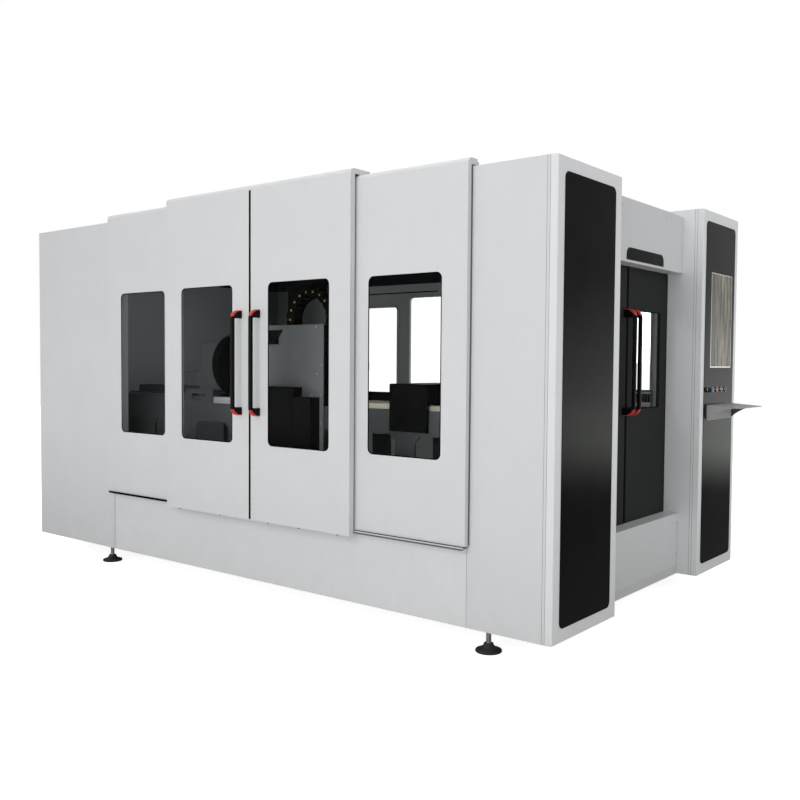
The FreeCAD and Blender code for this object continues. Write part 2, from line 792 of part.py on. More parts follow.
def inner_rail_span():
    """Between the outer doors' hooks and the end of the inner doors' hooks."""
    middle = (inner_front + inner_hook_reach - sheet + outer_front + outer_hook_reach) / 2
    return middle - inner_rail_width / 2, middle + inner_rail_width / 2


def guide_floor():
    return inner_door_bottom + sheet + guide_lift


def guide_front():
    """Front face of the sill channel, midway between the two door layers."""
    return (outer_front + inner_back - guide_thickness) / 2


def door_run():
    """X span of the front doors' rails."""
    doors = door_left_edges()
    return doors[0] + 2 * fold_radius, doors[3] + door_width - fold_radius


def roof_rails():
    """Low rail of the outer doors and tall rail of the inner doors."""
    x0, x1 = door_run()
    return [block(x0, x1, *outer_rail_span(), z_top, z_top + outer_rail_height),
            block(x0, x1, *inner_rail_span(), z_top, z_top + inner_rail_height)]


def sill_channel():
    """Folded angle along the apron: the floor carries the outer doors, the lip guides both."""
    x0, x1 = door_run()
    floor, lip = guide_floor(), guide_front()
    path = [(lip, floor + guide_lip), (lip, floor - guide_thickness), (y_front, floor - guide_thickness)]
    return folded(path, guide_thickness, lambda u, v: (x0, u, v), (x1 - x0, 0, 0))


def end_door_track():
    """Bar under the end doors and a folded angle over and behind their top edges."""
    middle = (leaf_front + leaf_back) / 2
    y0, y1 = y_front + jamb_depth, y_rear - jamb_depth
    track = block(middle - track_width / 2, middle + track_width / 2, y0, y1, z_floor,
                  leaf_bottom - seat_gap)
    behind, top = leaf_back - leaf_gap - guide_thickness, leaf_top + cover_lift + guide_thickness
    path = [(x_doorway, top), (behind, top), (behind, leaf_top - guide_skirt)]
    guide = folded(path, guide_thickness, lambda u, v: (u, y0, v), (0, y1 - y0, 0))
    return [track, guide]


def front_window(left, front):
    """Pane seated behind the door's skin."""
    w0, w1 = window_span(left)
    return round_slab(w0 - glass_lap, w1 + glass_lap, window_bottom - glass_lap,
                      window_top + glass_lap, window_corner - sheet, front + sheet,
                      front + sheet + glass_thickness, "y")


# ---- end doors ----------------------------------------------------------------------

def leaf_spans():
    """Y span of the near and of the far leaf."""
    half = leaf_meeting_gap / 2
    return [(y_near_jamb - leaf_lap, y_doorway - half), (y_doorway + half, y_far_jamb + leaf_lap)]


def leaf_window_spans():
    return [(y_near_jamb + leaf_window_margin, y_doorway - leaf_window_margin),
            (y_doorway + leaf_window_margin, y_far_jamb - leaf_window_margin)]


def end_door(span, window):
    """Black door pan with a well for the glass behind its opening."""
    y0, y1 = span
    w0, w1 = window
    pan = block(leaf_back, leaf_front, y0, y1, leaf_bottom, leaf_top)
    pan = pan.cut(block(leaf_back - 1, leaf_front - sheet, y0 + sheet, y1 - sheet,
                        leaf_bottom + sheet, leaf_top - sheet))
    rim = block(leaf_front - sheet - rib_depth, leaf_front - sheet, w0 - glass_lap - sheet - seat_gap,
                w1 + glass_lap + sheet + seat_gap, leaf_window_bottom - glass_lap - sheet - seat_gap,
                leaf_window_top + glass_lap + sheet + seat_gap)
    well = block(leaf_back - 1, leaf_front - sheet, w0 - glass_lap - seat_gap, w1 + glass_lap + seat_gap,
                 leaf_window_bottom - glass_lap - seat_gap, leaf_window_top + glass_lap + seat_gap)
    opening = round_slab(w0, w1, leaf_window_bottom, leaf_window_top, leaf_window_corner,
                         leaf_back - 1, leaf_front + 1, "x")
    return pan.fuse(rim.cut(well)).cut(opening)


def end_window(window):
    w0, w1 = window
    return block(leaf_front - sheet - glass_thickness, leaf_front - sheet, w0 - glass_lap,
                 w1 + glass_lap, leaf_window_bottom - glass_lap, leaf_window_top + glass_lap)


# ---- bed ----------------------------------------------------------------------------

def clipped_window(x, z, y0, y1):
    """Cutter for one opening in the girder's sides, with clipped corners."""
    half_width, half_height = bed_window[0] / 2, bed_window[1] / 2
    clip = bed_window_clip
    quarter = [(half_width - clip, half_height), (half_width, half_height - clip)]
    ring = quarter + [(u, -v) for u, v in quarter[::-1]]
    ring += [(-u, -v) for u, v in quarter]
    ring += [(-u, v) for u, v in quarter[::-1]]
    return prism([(x + u, y0, z + v) for u, v in ring], (0, y1 - y0, 0))


def bed():
    """Welded box girder, open below, with two rows of openings through both sides."""
    y0, y1 = axis_y - bed_width / 2, axis_y + bed_width / 2
    girder = block(bed_left, bed_right, y0, y1, z_floor, bed_top)
    girder = girder.cut(block(bed_left + bed_wall, bed_right - bed_wall, y0 + bed_wall,
                              y1 - bed_wall, z_floor - 1, bed_top - bed_wall))
    inset = bed_window_margin + bed_window[1] / 2
    rows = (z_floor + inset, bed_top - inset)
    for x in bed_window_places():
        for z in rows:
            girder = girder.cut(clipped_window(x, z, y0 - 1, y1 + 1))
    return girder


def bed_window_places():
    """Middles of the openings along the bed."""
    count = int((bed_right - bed_left - bed_window[0]) // bed_window_pitch)
    start = (bed_left + bed_right - (count - 1) * bed_window_pitch) / 2
    return [start + k * bed_window_pitch for k in range(count)]


def bed_rails():
    """Linear rails on the bed and the toothed racks beside them."""
    pieces = []
    spans = ((bed_left, head_left), (head_right, bed_right))
    for x0, x1 in [(a + rail_end_gap, b - rail_end_gap) for a, b in spans]:
        for side in (-1, 1):
            y = axis_y + side * rail_offset
            pieces.append(block(x0, x1, y - rail_width / 2, y + rail_width / 2, bed_top,
                                bed_top + rail_height))
        pieces.append(rack(x0, x1))
    return pieces


def rack(x0, x1):
    """Rack between the rails, its teeth facing the front."""
    y1 = axis_y - rail_offset + rail_width / 2 + 2 * rack_size
    y0 = y1 - rack_size
    bar = block(x0, x1, y0 + rack_tooth, y1, bed_top, bed_top + rack_size)
    teeth = []
    foot, tip = rack_pitch / 4, rack_pitch / 8
    for k in range(int((x1 - x0) // rack_pitch)):
        x = x0 + (k + 0.5) * rack_pitch
        teeth.append(prism([(x - foot, y0 + rack_tooth, bed_top), (x + foot, y0 + rack_tooth, bed_top),
                            (x + tip, y0, bed_top), (x - tip, y0, bed_top)], (0, 0, rack_size)))
    return bar.multiFuse(teeth).removeSplitter()


# ---- front headstock ----------------------------------------------------------------

def along_axis(radius, x0, x1):
    return rod(radius, (x0, axis_y, axis_z), (x1, axis_y, axis_z))


def front_headstock():
    """Cast bearing block standing on the bed."""
    body = block(head_left, head_right, head_front + sheet, head_rear - sheet, bed_top, head_top - sheet)
    return body.cut(along_axis(spindle_radius, head_left - 1, head_right + 1))


def headstock_cover():
    """Sheet cover over the bearing block, with louvres in its front."""
    path = [(head_front, cover_bottom), (head_front, head_top), (head_rear, head_top),
            (head_rear, cover_bottom)]
    cover = folded(path[::-1], sheet, lambda u, v: (head_left, u, v), (head_right - head_left, 0, 0))
    width, height = louvre_size
    x0, z0 = head_left + louvre_inset, axis_z - louvre_drop
    for k in range(louvre_count):
        z = z0 + k * louvre_pitch
        cover = cover.cut(block(x0, x0 + width, head_front - 1, head_front + sheet + 1, z, z + height))
    return cover


def head_bracket():
    """Black face plate of the headstock; it carries the cross rails of the cutting head."""
    x0, x1 = head_right, head_right + bracket_thickness
    plate = block(x0, x1, head_front, head_rear, bed_top, head_top)
    upper = block(x0, x1, head_front + stiffener / 2, axis_y + bracket_reach, head_top - 1,
                  axis_z + bracket_rise)
    corners = [e for e in upper.Edges if on_axis(e, "x") and e.Vertexes[0].Point.z > head_top]
    plate = plate.fuse(upper.makeFillet(panel_corner, corners)).removeSplitter()
    plate = plate.cut(along_axis(spindle_radius + 1, x0 - 1, x1 + 1))
    reach, height = slide_rail
    half = slide_rail_length / 2
    rails = [block(x1, x1 + reach, axis_y - half, axis_y + half, axis_z + rise - height / 2,
                   axis_z + rise + height / 2) for rise in slide_rail_rises]
    return plate.fuse(rails)


def drive_covers():
    """Motor cover, valve cover and sensor bracket on the front of the headstock cover."""
    pieces = []
    split, bottom = head_left + drive_width, cover_bottom + drive_lift
    spans = ((head_left, split - seat_gap), (split, head_right - drive_inset))
    for (x0, x1), drop in zip(spans, drive_drops):
        top = axis_z - drop
        box = block(x0, x1, head_front - drive_depth, head_front, bottom, top)
        front = [e for e in box.Edges if all(abs(v.Point.y - head_front + drive_depth) < 1e-6
                                             for v in e.Vertexes)]
        box = box.makeFillet(2 * sheet, front)
        pieces.append(box.cut(block(x0 + sheet, x1 - sheet, head_front - drive_depth + sheet,
                                    head_front + 1, bottom + sheet, top - sheet)))
    length, depth, height = sensor_size
    x0, z0 = head_left + sensor_inset, axis_z + sensor_rise
    pieces.append(prism([(x0, head_front, z0), (x0 + 0.75 * length, head_front, z0),
                         (x0 + 0.75 * length, head_front, z0 + height / 2),
                         (x0 + length, head_front, z0 + height), (x0, head_front, z0 + height)],
                        (0, -depth, 0)))
    return pieces + cable_trough()


def cable_trough():
    """Open channel along the bed, on arms that pass under the skirts; none behind the headstock."""
    width, height = trough_size
    bed_back = axis_y + bed_width / 2
    y0, y1 = bed_back + trough_gap, bed_back + trough_gap + width
    z1 = bed_top + trough_rise
    z0 = z1 - height
    x0, x1 = bed_left + rail_end_gap, bed_right - rail_end_gap
    pieces = [folded([(y0, z1), (y0, z0), (y1, z0), (y1, z1)], sheet, lambda u, v: (x0, u, v),
                     (x1 - x0, 0, 0))]
    arm_top = bed_top - tail_skirt - tail_wall
    for x in bed_window_places()[1:]:
        a = x - bed_window_pitch / 2 - trough_post / 2
        if head_left - trough_post < a < head_right:
            continue
        pieces.append(block(a, a + trough_post, y0, y1, arm_top, z0))
        pieces.append(prism([(a, bed_back, arm_top - trough_arm), (a, bed_back, arm_top),
                             (a, y1, arm_top)], (trough_post, 0, 0)))
    return pieces


def front_chuck():
    """Hollow spindle with its flange in front and a collar behind the bearing block."""
    chuck = along_axis(spindle_radius - seat_gap, head_left - seat_gap, flange_x)
    flange = along_axis(flange_radius, flange_x, flange_face)
    flange = flange.makeChamfer(flange_bevel, [e for e in flange.Edges if e.Length > flange_radius
                                               and e.CenterOfMass.x > flange_x + 1])
    collar = along_axis(collar_radius, head_left - seat_gap - collar_thickness, head_left - seat_gap)
    chuck = chuck.fuse([flange, collar])
    chuck = chuck.cut(along_axis(chuck_bore, head_left - 2 * collar_thickness, flange_face + 1))
    half_slot = tongue_width / 2 + seat_gap
    for k in range(jaw_count):
        slot = block(flange_face - tongue_depth - seat_gap, flange_face + 1, axis_y - half_slot,
                     axis_y + half_slot, axis_z + chuck_bore / 2, axis_z + flange_radius + 1)
        chuck = chuck.cut(turned(slot, k))
    return chuck


def turned(shape, k):
    """A copy turned about the tube axis to jaw place k."""
    copy = shape.copy()
    copy.rotate(FreeCAD.Vector(0, axis_y, axis_z), FreeCAD.Vector(1, 0, 0), k * 360.0 / jaw_count)
    return copy


def chuck_jaw(k):
    """Stepped jaw with a tongue in the flange's slot."""
    x0 = flange_face + seat_gap
    low = block(x0, x0 + jaw_thickness / 2, axis_y - jaw_width / 2, axis_y + jaw_width / 2,
                axis_z + jaw_inner, axis_z + jaw_outer)
    step = block(x0 + jaw_thickness / 2, x0 + jaw_thickness, axis_y - jaw_width / 2,
                 axis_y + jaw_width / 2, axis_z + jaw_inner, axis_z + (jaw_inner + jaw_outer) / 2)
    tongue = block(flange_face - tongue_depth, x0, axis_y - tongue_width / 2, axis_y + tongue_width / 2,
                   axis_z + chuck_bore + 2, axis_z + jaw_outer)
    return turned(low.fuse([step, tongue]).removeSplitter(), k)


# ---- cutting head -------------------------------------------------------------------

def above_axis(rises):
    return [axis_z + rise for rise in rises]


def cross_carriage():
    """Plate on the two cross rails, with the upright guide of the cutting head."""
    front = carriage_x + cross_plate
    plate = block(carriage_x, front, axis_y - cross_width / 2, axis_y + cross_width / 2,
                  *above_axis(cross_rises))
    guide = block(front, ram_x, axis_y - ram_width / 2, axis_y + ram_width / 2, *above_axis(ram_rises))
    guide = guide.makeFillet(2 * sheet, [e for e in guide.Edges if on_axis(e, "z")
                                         and e.Vertexes[0].Point.x > ram_x - 1])
    return plate.fuse(guide).removeSplitter()


def cutting_head():
    """Slide plate, head body, collimator and nozzle, on the upright guide."""
    x0 = ram_x + seat_gap
    x, y = x0 + head_plate + head_radius, axis_y
    low, high = above_axis(head_rises)
    tip = axis_z + nozzle_rise
    plate = block(x0, x0 + head_plate, y - ram_width / 2, y + ram_width / 2, axis_z + head_plate_rise, high)
    body = rod(head_radius, (x, y, low), (x, y, high))
    saddle = block(x0 + head_plate, x, y - head_radius / 2, y + head_radius / 2, low, high)
    collimator = rod(collimator_radius, (x, y, high), (x, y, axis_z + collimator_rise))
    throat = Part.makeCone(nozzle_radii[1], head_radius, throat_height,
                           FreeCAD.Vector(x, y, low - throat_height))
    nozzle = Part.makeCone(nozzle_radii[0], nozzle_radii[1], low - throat_height - tip,
                           FreeCAD.Vector(x, y, tip))
    head = plate.fuse([body, saddle, collimator, throat, nozzle]).removeSplitter()
    return head.cut(rod(nozzle_bore, (x, y, tip - 1), (x, y, tip + throat_height)))


# ---- rear headstock and tail support -------------------------------------------------

def rail_shoes(x0, x1):
    """Four shoes that straddle the rails, under a moving unit."""
    length, width = slider
    shoes = []
    for x in (x0, x1 - length):
        for side in (-1, 1):
            y = axis_y + side * rail_offset
            shoe = block(x, x + length, y - width / 2, y + width / 2, bed_top + slider_lift, deck_top)
            groove = rail_width / 2 + seat_gap
            shoes.append(shoe.cut(block(x - 1, x + length + 1, y - groove, y + groove, bed_top,
                                        bed_top + rail_height + seat_gap)))
    return shoes


def rear_headstock():
    """Saddle on the rails and the bearing block of the rear chuck."""
    length, width, rise = rear_block
    x1 = disc_back - seat_gap
    x0 = x1 - length
    saddle_x = x1 - saddle_setback - saddle_length
    saddle = block(saddle_x, saddle_x + saddle_length, axis_y - bed_width / 2,
                   axis_y + bed_width / 2, deck_top, deck_top + saddle_thickness)
    top = axis_z + rise
    bearing = block(x0, x1, axis_y - width / 2, axis_y + width / 2, deck_top + saddle_thickness, top)
    bearing = bearing.makeFillet(panel_corner, [e for e in bearing.Edges if on_axis(e, "x")
                                                and e.Vertexes[0].Point.z > top - 1])
    body = saddle.fuse([bearing] + rail_shoes(saddle_x, saddle_x + saddle_length)).removeSplitter()
    return body.cut(along_axis(rear_spindle_radius, x0 - 1, x1 + 1))


def rear_chuck():
    """Black disc with grooves across its face, on a hollow spindle."""
    disc = along_axis(disc_radius, disc_back, disc_face)
    disc = disc.makeChamfer(disc_bevel, [e for e in disc.Edges if e.Length > disc_radius])
    chuck = disc.fuse(along_axis(rear_spindle_radius - seat_gap, disc_back - quill_length, disc_back))
    chuck = chuck.cut(along_axis(rear_bore, disc_back - quill_length - 1, disc_face + 1))
    width, depth = disc_groove
    above = [(k + 1) * disc_groove_pitch for k in range(disc_grooves)]
    for rise in above + [-offset for offset in above]:
        z = axis_z + rise
        chuck = chuck.cut(block(disc_face - depth, disc_face + 1, axis_y - disc_radius,
                                axis_y + disc_radius, z - width / 2, z + width / 2))
    return chuck


def tail_support():
    """Support carriage that straddles the bed."""
    x0 = head_right + tail_gap
    x1 = x0 + tail_length
    low, top = bed_top - tail_skirt, axis_z - tail_drop
    half = bed_width / 2 + tail_side_gap
    y0, y1 = axis_y - half - tail_wall, axis_y + half + tail_wall
    hood = block(x0, x1, y0, y1, low, top)
    hood = hood.makeChamfer(2 * sheet, [e for e in hood.Edges if e.CenterOfMass.z > top - 1])
    hood = hood.cut(block(x0 - 1, x1 + 1, y0 + tail_wall, y1 - tail_wall, low - 1, deck_top))
    hood = hood.cut(block(x0 + tail_wall, x1 - tail_wall, y0 + tail_wall, y1 - tail_wall,
                          deck_top - 1, top - tail_wall))
    floor = block(x0, x1, y0 + tail_wall, y1 - tail_wall, deck_top, deck_top + tail_wall)
    vent = block(x0 - 1, x0 + tail_wall + 1, axis_y - tail_vent / 2, axis_y + tail_vent / 2,
                 deck_top + 2 * tail_wall, top - 2 * tail_wall)
    return hood.fuse([floor] + rail_shoes(x0 + stiffener, x1 - stiffener)).cut(vent).removeSplitter()


# ---- cable chain and laser source -----------------------------------------------------

def half_ring(r0, r1, y0, y1, start, sweep):
    """Part of a ring in the XZ plane round the chain's centre, angles from +X."""
    turn = [math.radians(start), math.radians(start + sweep / 2), math.radians(start + sweep)]
    outer = [FreeCAD.Vector(chain_x + r1 * math.cos(t), y0, chain_z + r1 * math.sin(t)) for t in turn]
    inner = [FreeCAD.Vector(chain_x + r0 * math.cos(t), y0, chain_z + r0 * math.sin(t)) for t in turn]
    wire = Part.Wire([Part.Arc(*outer).toShape(), Part.makeLine(outer[2], inner[2]),
                      Part.Arc(*inner[::-1]).toShape(), Part.makeLine(inner[0], outer[0])])
    return Part.Face(wire).extrude(FreeCAD.Vector(0, y1 - y0, 0))


def cable_chain():
    """Arched chain of links on its bracket; both ends stand on the bracket's shelf."""
    y0, y1 = chain_front, chain_front + chain_width
    core = chain_core
    pieces = [half_ring(chain_inner + core, chain_outer - core, y0 + core, y1 - core, 0, 180)]
    step = 180.0 / chain_links
    gap = math.degrees(chain_link_gap / chain_outer)
    for k in range(chain_links):
        pieces.append(half_ring(chain_inner, chain_outer, y0, y1, k * step + gap / 2, step - gap))
    pitch = math.radians(step) * (chain_inner + chain_outer) / 2
    shelf_z = chain_z - chain_leg
    for side in (-1, 1):
        a, b = sorted((chain_x + side * chain_inner, chain_x + side * chain_outer))
        pieces.append(block(a + core, b - core, y0 + core, y1 - core, shelf_z, chain_z))
        for k in range(int(chain_leg // pitch)):
            top = chain_z - k * pitch
            pieces.append(block(a, b, y0, y1, top - pitch + chain_link_gap, top))
    thickness, height = chain_bracket
    right = chain_x + chain_outer + thickness
    shelf = block(chain_x - chain_outer - thickness, right, y0, y1, shelf_z - thickness, shelf_z)
    arm = block(head_left + thickness, right, head_rear, y0, shelf_z - thickness, shelf_z)
    flange = block(head_left + thickness, right, head_rear, head_rear + thickness / 2,
                   shelf_z - thickness, shelf_z + height)
    return pieces[0].multiFuse(pieces[1:] + [shelf, arm, flange]).removeSplitter()


def laser_source():
    """Closed sheet-metal case of the laser source, with recessed louvres in its right side."""
    length, depth, height = source_size
    x0, y1 = x_left + source_left_gap, y_rear - source_rear_gap
    x1, y0, z1 = x0 + length, y1 - depth, z_floor + height
    case = block(x0, x1, y0, y1, z_floor, z1)
    case = case.makeChamfer(2 * sheet, [e for e in case.Edges if e.CenterOfMass.z > z1 - 1])
    wall = 2 * sheet
    case = case.cut(block(x0 + wall, x1 - wall, y0 + wall, y1 - wall, z_floor + wall, z1 - wall))
    slot = louvre_size[1]
    for k in range(louvre_count):
        z = z_floor + height / 2 + k * louvre_pitch
        case = case.cut(block(x1 - sheet, x1 + 1, y0 + beam_width, y1 - beam_width, z, z + slot))
    return case


# ---- build --------------------------------------------------------------------------

def main():
    os.makedirs("parts", exist_ok=True)
    save("base_frame", base_frame())
    save("foot_pads", [foot_pad(x, y) for x, y in foot_places()])
    save("foot_studs", [foot_stud(x, y) for x, y in foot_places()])

    save("left_cabinet", left_cabinet())
    save("front_column", front_column())
    save("control_column", control_column())
    save("rear_wall", rear_wall())
    save("rear_glass", rear_glass())
    save("roof_panel", roof_panel())
    save("front_sill", front_sill())
    save("header_panel", header_panel())
    save("end_sill", end_sill())
    save("roof_rails", roof_rails())
    save("sill_channel", sill_channel())
    save("end_door_track", end_door_track())
    save("column_covers", [cover_pan(y_front, y_near_jamb),
                           station_cutouts(cover_pan(y_far_jamb, y_rear))])
    save("black_panels", [front_column_panel(), header_plate()])
    save("control_panel", control_panel())

    places = button_places()
    save("monitor", monitor())
    save("button_bezels", [button_bezel(y) for y in places])
    save("selector_knob", selector_knob(places[0]))
    for name, y in zip(("blue", "red", "green", "black"), places[1:]):
        save("%s_button" % name, button(y))
    save("keyboard_tray", keyboard_tray())

    makers = (outer_door, inner_door, inner_door, outer_door)
    fronts = (outer_front, inner_front, inner_front, outer_front)
    for k, left in enumerate(door_left_edges()):
        save("front_door_%d" % (k + 1), makers[k](left))
        save("front_window_%d" % (k + 1), front_window(left, fronts[k]))
    save("front_handle_2", front_handle(x_meeting - front_handle_offset))
    save("front_handle_3", front_handle(x_meeting + front_handle_offset))

    leaves = zip(("near", "far"), leaf_spans(), leaf_window_spans(), (-1, 1))
    for name, span, window, side in leaves:
        save("end_door_%s" % name, end_door(span, window))
        save("end_window_%s" % name, end_window(window))
        save("end_handle_%s" % name, end_handle(y_doorway + side * end_handle_offset))

    save("bed", bed())
    save("bed_rails", bed_rails())
    save("front_headstock", front_headstock())
    save("headstock_cover", headstock_cover())
    save("head_bracket", head_bracket())
    save("drive_covers", drive_covers())
    save("front_chuck", front_chuck())
    for k in range(jaw_count):
        save("chuck_jaw_%d" % (k + 1), chuck_jaw(k))
    save("cross_carriage", cross_carriage())
    save("cutting_head", cutting_head())
    save("rear_headstock", rear_headstock())
    save("rear_chuck", rear_chuck())
    save("tail_support", tail_support())
    save("cable_chain", cable_chain())
    save("laser_source", laser_source())


main()
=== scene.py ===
# %% [markdown]
# An enclosed laser cutting machine for tubes, dressed in Blender. The solid parts come in with
# their exact sizes, in metres, with the floor at Z = 0, the sliding doors facing -Y and the
# operator's end at +X. This lesson lights and photographs them, gives each surface its finish,
# and models the small pieces that make the machine look made: moulded handles, seals, screws,
# feet and the cable chain.

# %% Load the solid parts
import math
import bpy
from mathutils import Matrix, Vector


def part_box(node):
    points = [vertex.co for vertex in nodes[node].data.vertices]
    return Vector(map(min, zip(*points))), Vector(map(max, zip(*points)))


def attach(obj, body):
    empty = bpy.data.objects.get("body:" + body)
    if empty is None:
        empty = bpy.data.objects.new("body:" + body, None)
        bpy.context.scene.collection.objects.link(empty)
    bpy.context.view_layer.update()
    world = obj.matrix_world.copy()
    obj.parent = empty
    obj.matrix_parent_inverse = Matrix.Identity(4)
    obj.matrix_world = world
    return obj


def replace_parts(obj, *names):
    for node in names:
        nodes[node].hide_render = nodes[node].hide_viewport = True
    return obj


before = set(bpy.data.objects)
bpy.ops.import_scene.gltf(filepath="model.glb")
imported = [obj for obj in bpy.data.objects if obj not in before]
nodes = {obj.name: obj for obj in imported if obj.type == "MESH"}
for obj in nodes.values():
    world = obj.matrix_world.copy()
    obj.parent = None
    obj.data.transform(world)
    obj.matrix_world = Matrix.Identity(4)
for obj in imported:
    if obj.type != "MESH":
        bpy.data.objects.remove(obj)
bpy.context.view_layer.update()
scene = bpy.context.scene

# %% [markdown]
# The camera stands in front of the doors and to the right, at chest height, and looks almost
# level. A long straight machine shows its perspective clearly, so the lens matters as much as
# the place: 40.8 mm on a 36 mm sensor gives the same convergence of the roof and floor lines.

# %% Place the camera
EYE = (3.7104, -4.3446, 1.2873)
yaw = math.radians(-38.5218)
pitch = math.radians(-2.3805)
roll = math.radians(0.41434)
forward = Vector((math.sin(yaw) * math.cos(pitch), math.cos(yaw) * math.cos(pitch),
                  math.sin(pitch)))
level_right = Vector((math.cos(yaw), -math.sin(yaw), 0))
level_up = level_right.cross(forward)
right = level_right * math.cos(roll) + level_up * math.sin(roll)
up = level_up * math.cos(roll) - level_right * math.sin(roll)
camera_data = bpy.data.cameras.new("camera")
camera_data.sensor_width = 36.0
camera_data.lens = 40.762
camera_data.clip_end = 100.0
camera = bpy.data.objects.new("camera", camera_data)
scene.collection.objects.link(camera)
turned = Matrix((right, up, -forward)).transposed().to_4x4()
camera.matrix_world = Matrix.Translation(EYE) @ turned
scene.camera = camera
print("camera", tuple(round(c, 3) for c in camera.location), "lens", camera_data.lens)

# %% [markdown]
# A studio for a pale machine: broad soft lamps at a plain level, so that a colour renders about
# as it is written. The key stands in front and to the right, so the doors are the brightest
# upright faces and the operator's end falls clearly darker, which shows the machine's corner.
# A closed cabin would be pitch dark behind its panes, so two weak lamps under its roof stand in
# for the daylight that crosses it. They light the cabin and aren't seen themselves.

# %% Light the studio
def area_lamp(name, place, target, size, power):
    """Soft square lamp at a place, aimed at a target."""
    data = bpy.data.lights.new(name, "AREA")
    data.size = size
    data.energy = power
    lamp = bpy.data.objects.new(name, data)
    scene.collection.objects.link(lamp)
    lamp.location = place
    aim = Vector(target) - Vector(place)
    lamp.rotation_euler = aim.to_track_quat("-Z", "Y").to_euler()
    return lamp


area_lamp("key_lamp", (2.0, -7.5, 2.7), (0.3, -1.0, 1.0), 5.6, 209)
area_lamp("end_lamp", (7.5, 0.5, 2.6), (2.0, 0.2, 1.1), 4.0, 72)
area_lamp("top_lamp", (0.0, -1.0, 6.5), (0.0, 0.0, 2.0), 5.0, 110)
area_lamp("back_lamp", (-2.0, 7.0, 3.2), (0.0, 1.0, 1.1), 4.0, 110)
for name, x, power in (("cabin_lamp_left", -1.1, 2.7), ("cabin_lamp_right", 1.0, 2.3)):
    cabin_lamp = area_lamp(name, (x, -0.85, 2.0), (x, 0.9, 1.3), 0.3, power)
    cabin_lamp.visible_camera = cabin_lamp.visible_glossy = cabin_lamp.visible_transmission = False

# %% [markdown]
# The surroundings look white to the camera and light the machine only weakly. Mirrored, they
# are a dim hall, brighter at one end and towards the horizon, and a bright far floor: that gives
# black gloss its depth. One world and one floor can do all this, because a shader can ask what
# kind of ray looks at it. The helpers below build such trees of nodes in few lines.


# %% Helpers for shader nodes
def node(tree, kind, **values):
    """Add a shader node; inputs are given by their names with underscores for spaces."""
    made = tree.nodes.new(kind)
    for key, value in values.items():
        if hasattr(made, key):
            setattr(made, key, value)
        else:
            made.inputs[key.replace("_", " ")].default_value = value
    return made


def feed(tree, socket, source):
    """Give an input its number, or link it to another node's result."""
    if isinstance(source, (int, float)):
        socket.default_value = source
    else:
        tree.links.new(source, socket)


def chain_math(tree, operation, first, second):
    """One math node between two sockets or numbers; gives its result socket."""
    step = node(tree, "ShaderNodeMath", operation=operation)
    feed(tree, step.inputs[0], first)
    feed(tree, step.inputs[1], second)
    return step.outputs[0]


def ramp(tree, source, from_low=0.0, from_high=1.0, to_low=0.0, to_high=1.0):
    """Straight run from one span to another; each limit is a number or a socket."""
    step = node(tree, "ShaderNodeMapRange")
    labels = ("Value", "From Min", "From Max", "To Min", "To Max")
    for label, value in zip(labels, (source, from_low, from_high, to_low, to_high)):
        feed(tree, step.inputs[label], value)
    return step.outputs[0]


def mixed(tree, factor, first, second):
    """Shader between two, by a socket."""
    mix = node(tree, "ShaderNodeMixShader")
    for socket, source in zip(mix.inputs, (factor, first, second)):
        tree.links.new(source, socket)
    return mix.outputs[0]


def seen_directly(tree):
    """1 for camera, mirror and see-through rays, which look at the surroundings."""
    rays = node(tree, "ShaderNodeLightPath").outputs
    camera_or_mirror = chain_math(tree, "MAXIMUM", rays["Is Camera Ray"], rays["Is Glossy Ray"])
    return chain_math(tree, "MAXIMUM", camera_or_mirror, rays["Is Transmission Ray"])


def seen_mirrored(tree):
    """1 for rays that a surface mirrors, 0 for those that go on through a pane."""
    rays = node(tree, "ShaderNodeLightPath").outputs
    return chain_math(tree, "GREATER_THAN", rays["Is Glossy Ray"], rays["Is Transmission Ray"])


print("node helpers ready")

# %% Surroundings
WHITE = (1, 1, 1, 1)
world = bpy.data.worlds.new("studio")
world.use_nodes = True
scene.world = world
sky = world.node_tree
sky.nodes.clear()
ambient = node(sky, "ShaderNodeBackground", Color=WHITE, Strength=0.42)
backdrop = node(sky, "ShaderNodeBackground", Color=WHITE)
see_through = node(sky, "ShaderNodeLightPath").outputs["Is Transmission Ray"]
direction = node(sky, "ShaderNodeSeparateXYZ")
sky.links.new(node(sky, "ShaderNodeTexCoord").outputs["Generated"], direction.inputs[0])
hall = ramp(sky, direction.outputs["Z"], -0.06, 0.085, 1.5, 0.36)
far_end = ramp(sky, direction.outputs["X"], 0.42, 0.345, 0.0, 0.34)
level = node(sky, "ShaderNodeMix", data_type="FLOAT")
sky.links.new(seen_mirrored(sky), level.inputs[0])
sky.links.new(ramp(sky, see_through, to_low=1.0, to_high=1.25), level.inputs[2])
sky.links.new(chain_math(sky, "ADD", hall, far_end), level.inputs[3])
sky.links.new(level.outputs[0], backdrop.inputs["Strength"])
sky.links.new(mixed(sky, seen_directly(sky), ambient.outputs[0], backdrop.outputs[0]),
              node(sky, "ShaderNodeOutputWorld").inputs[0])
print("surroundings", len(sky.nodes), "nodes")

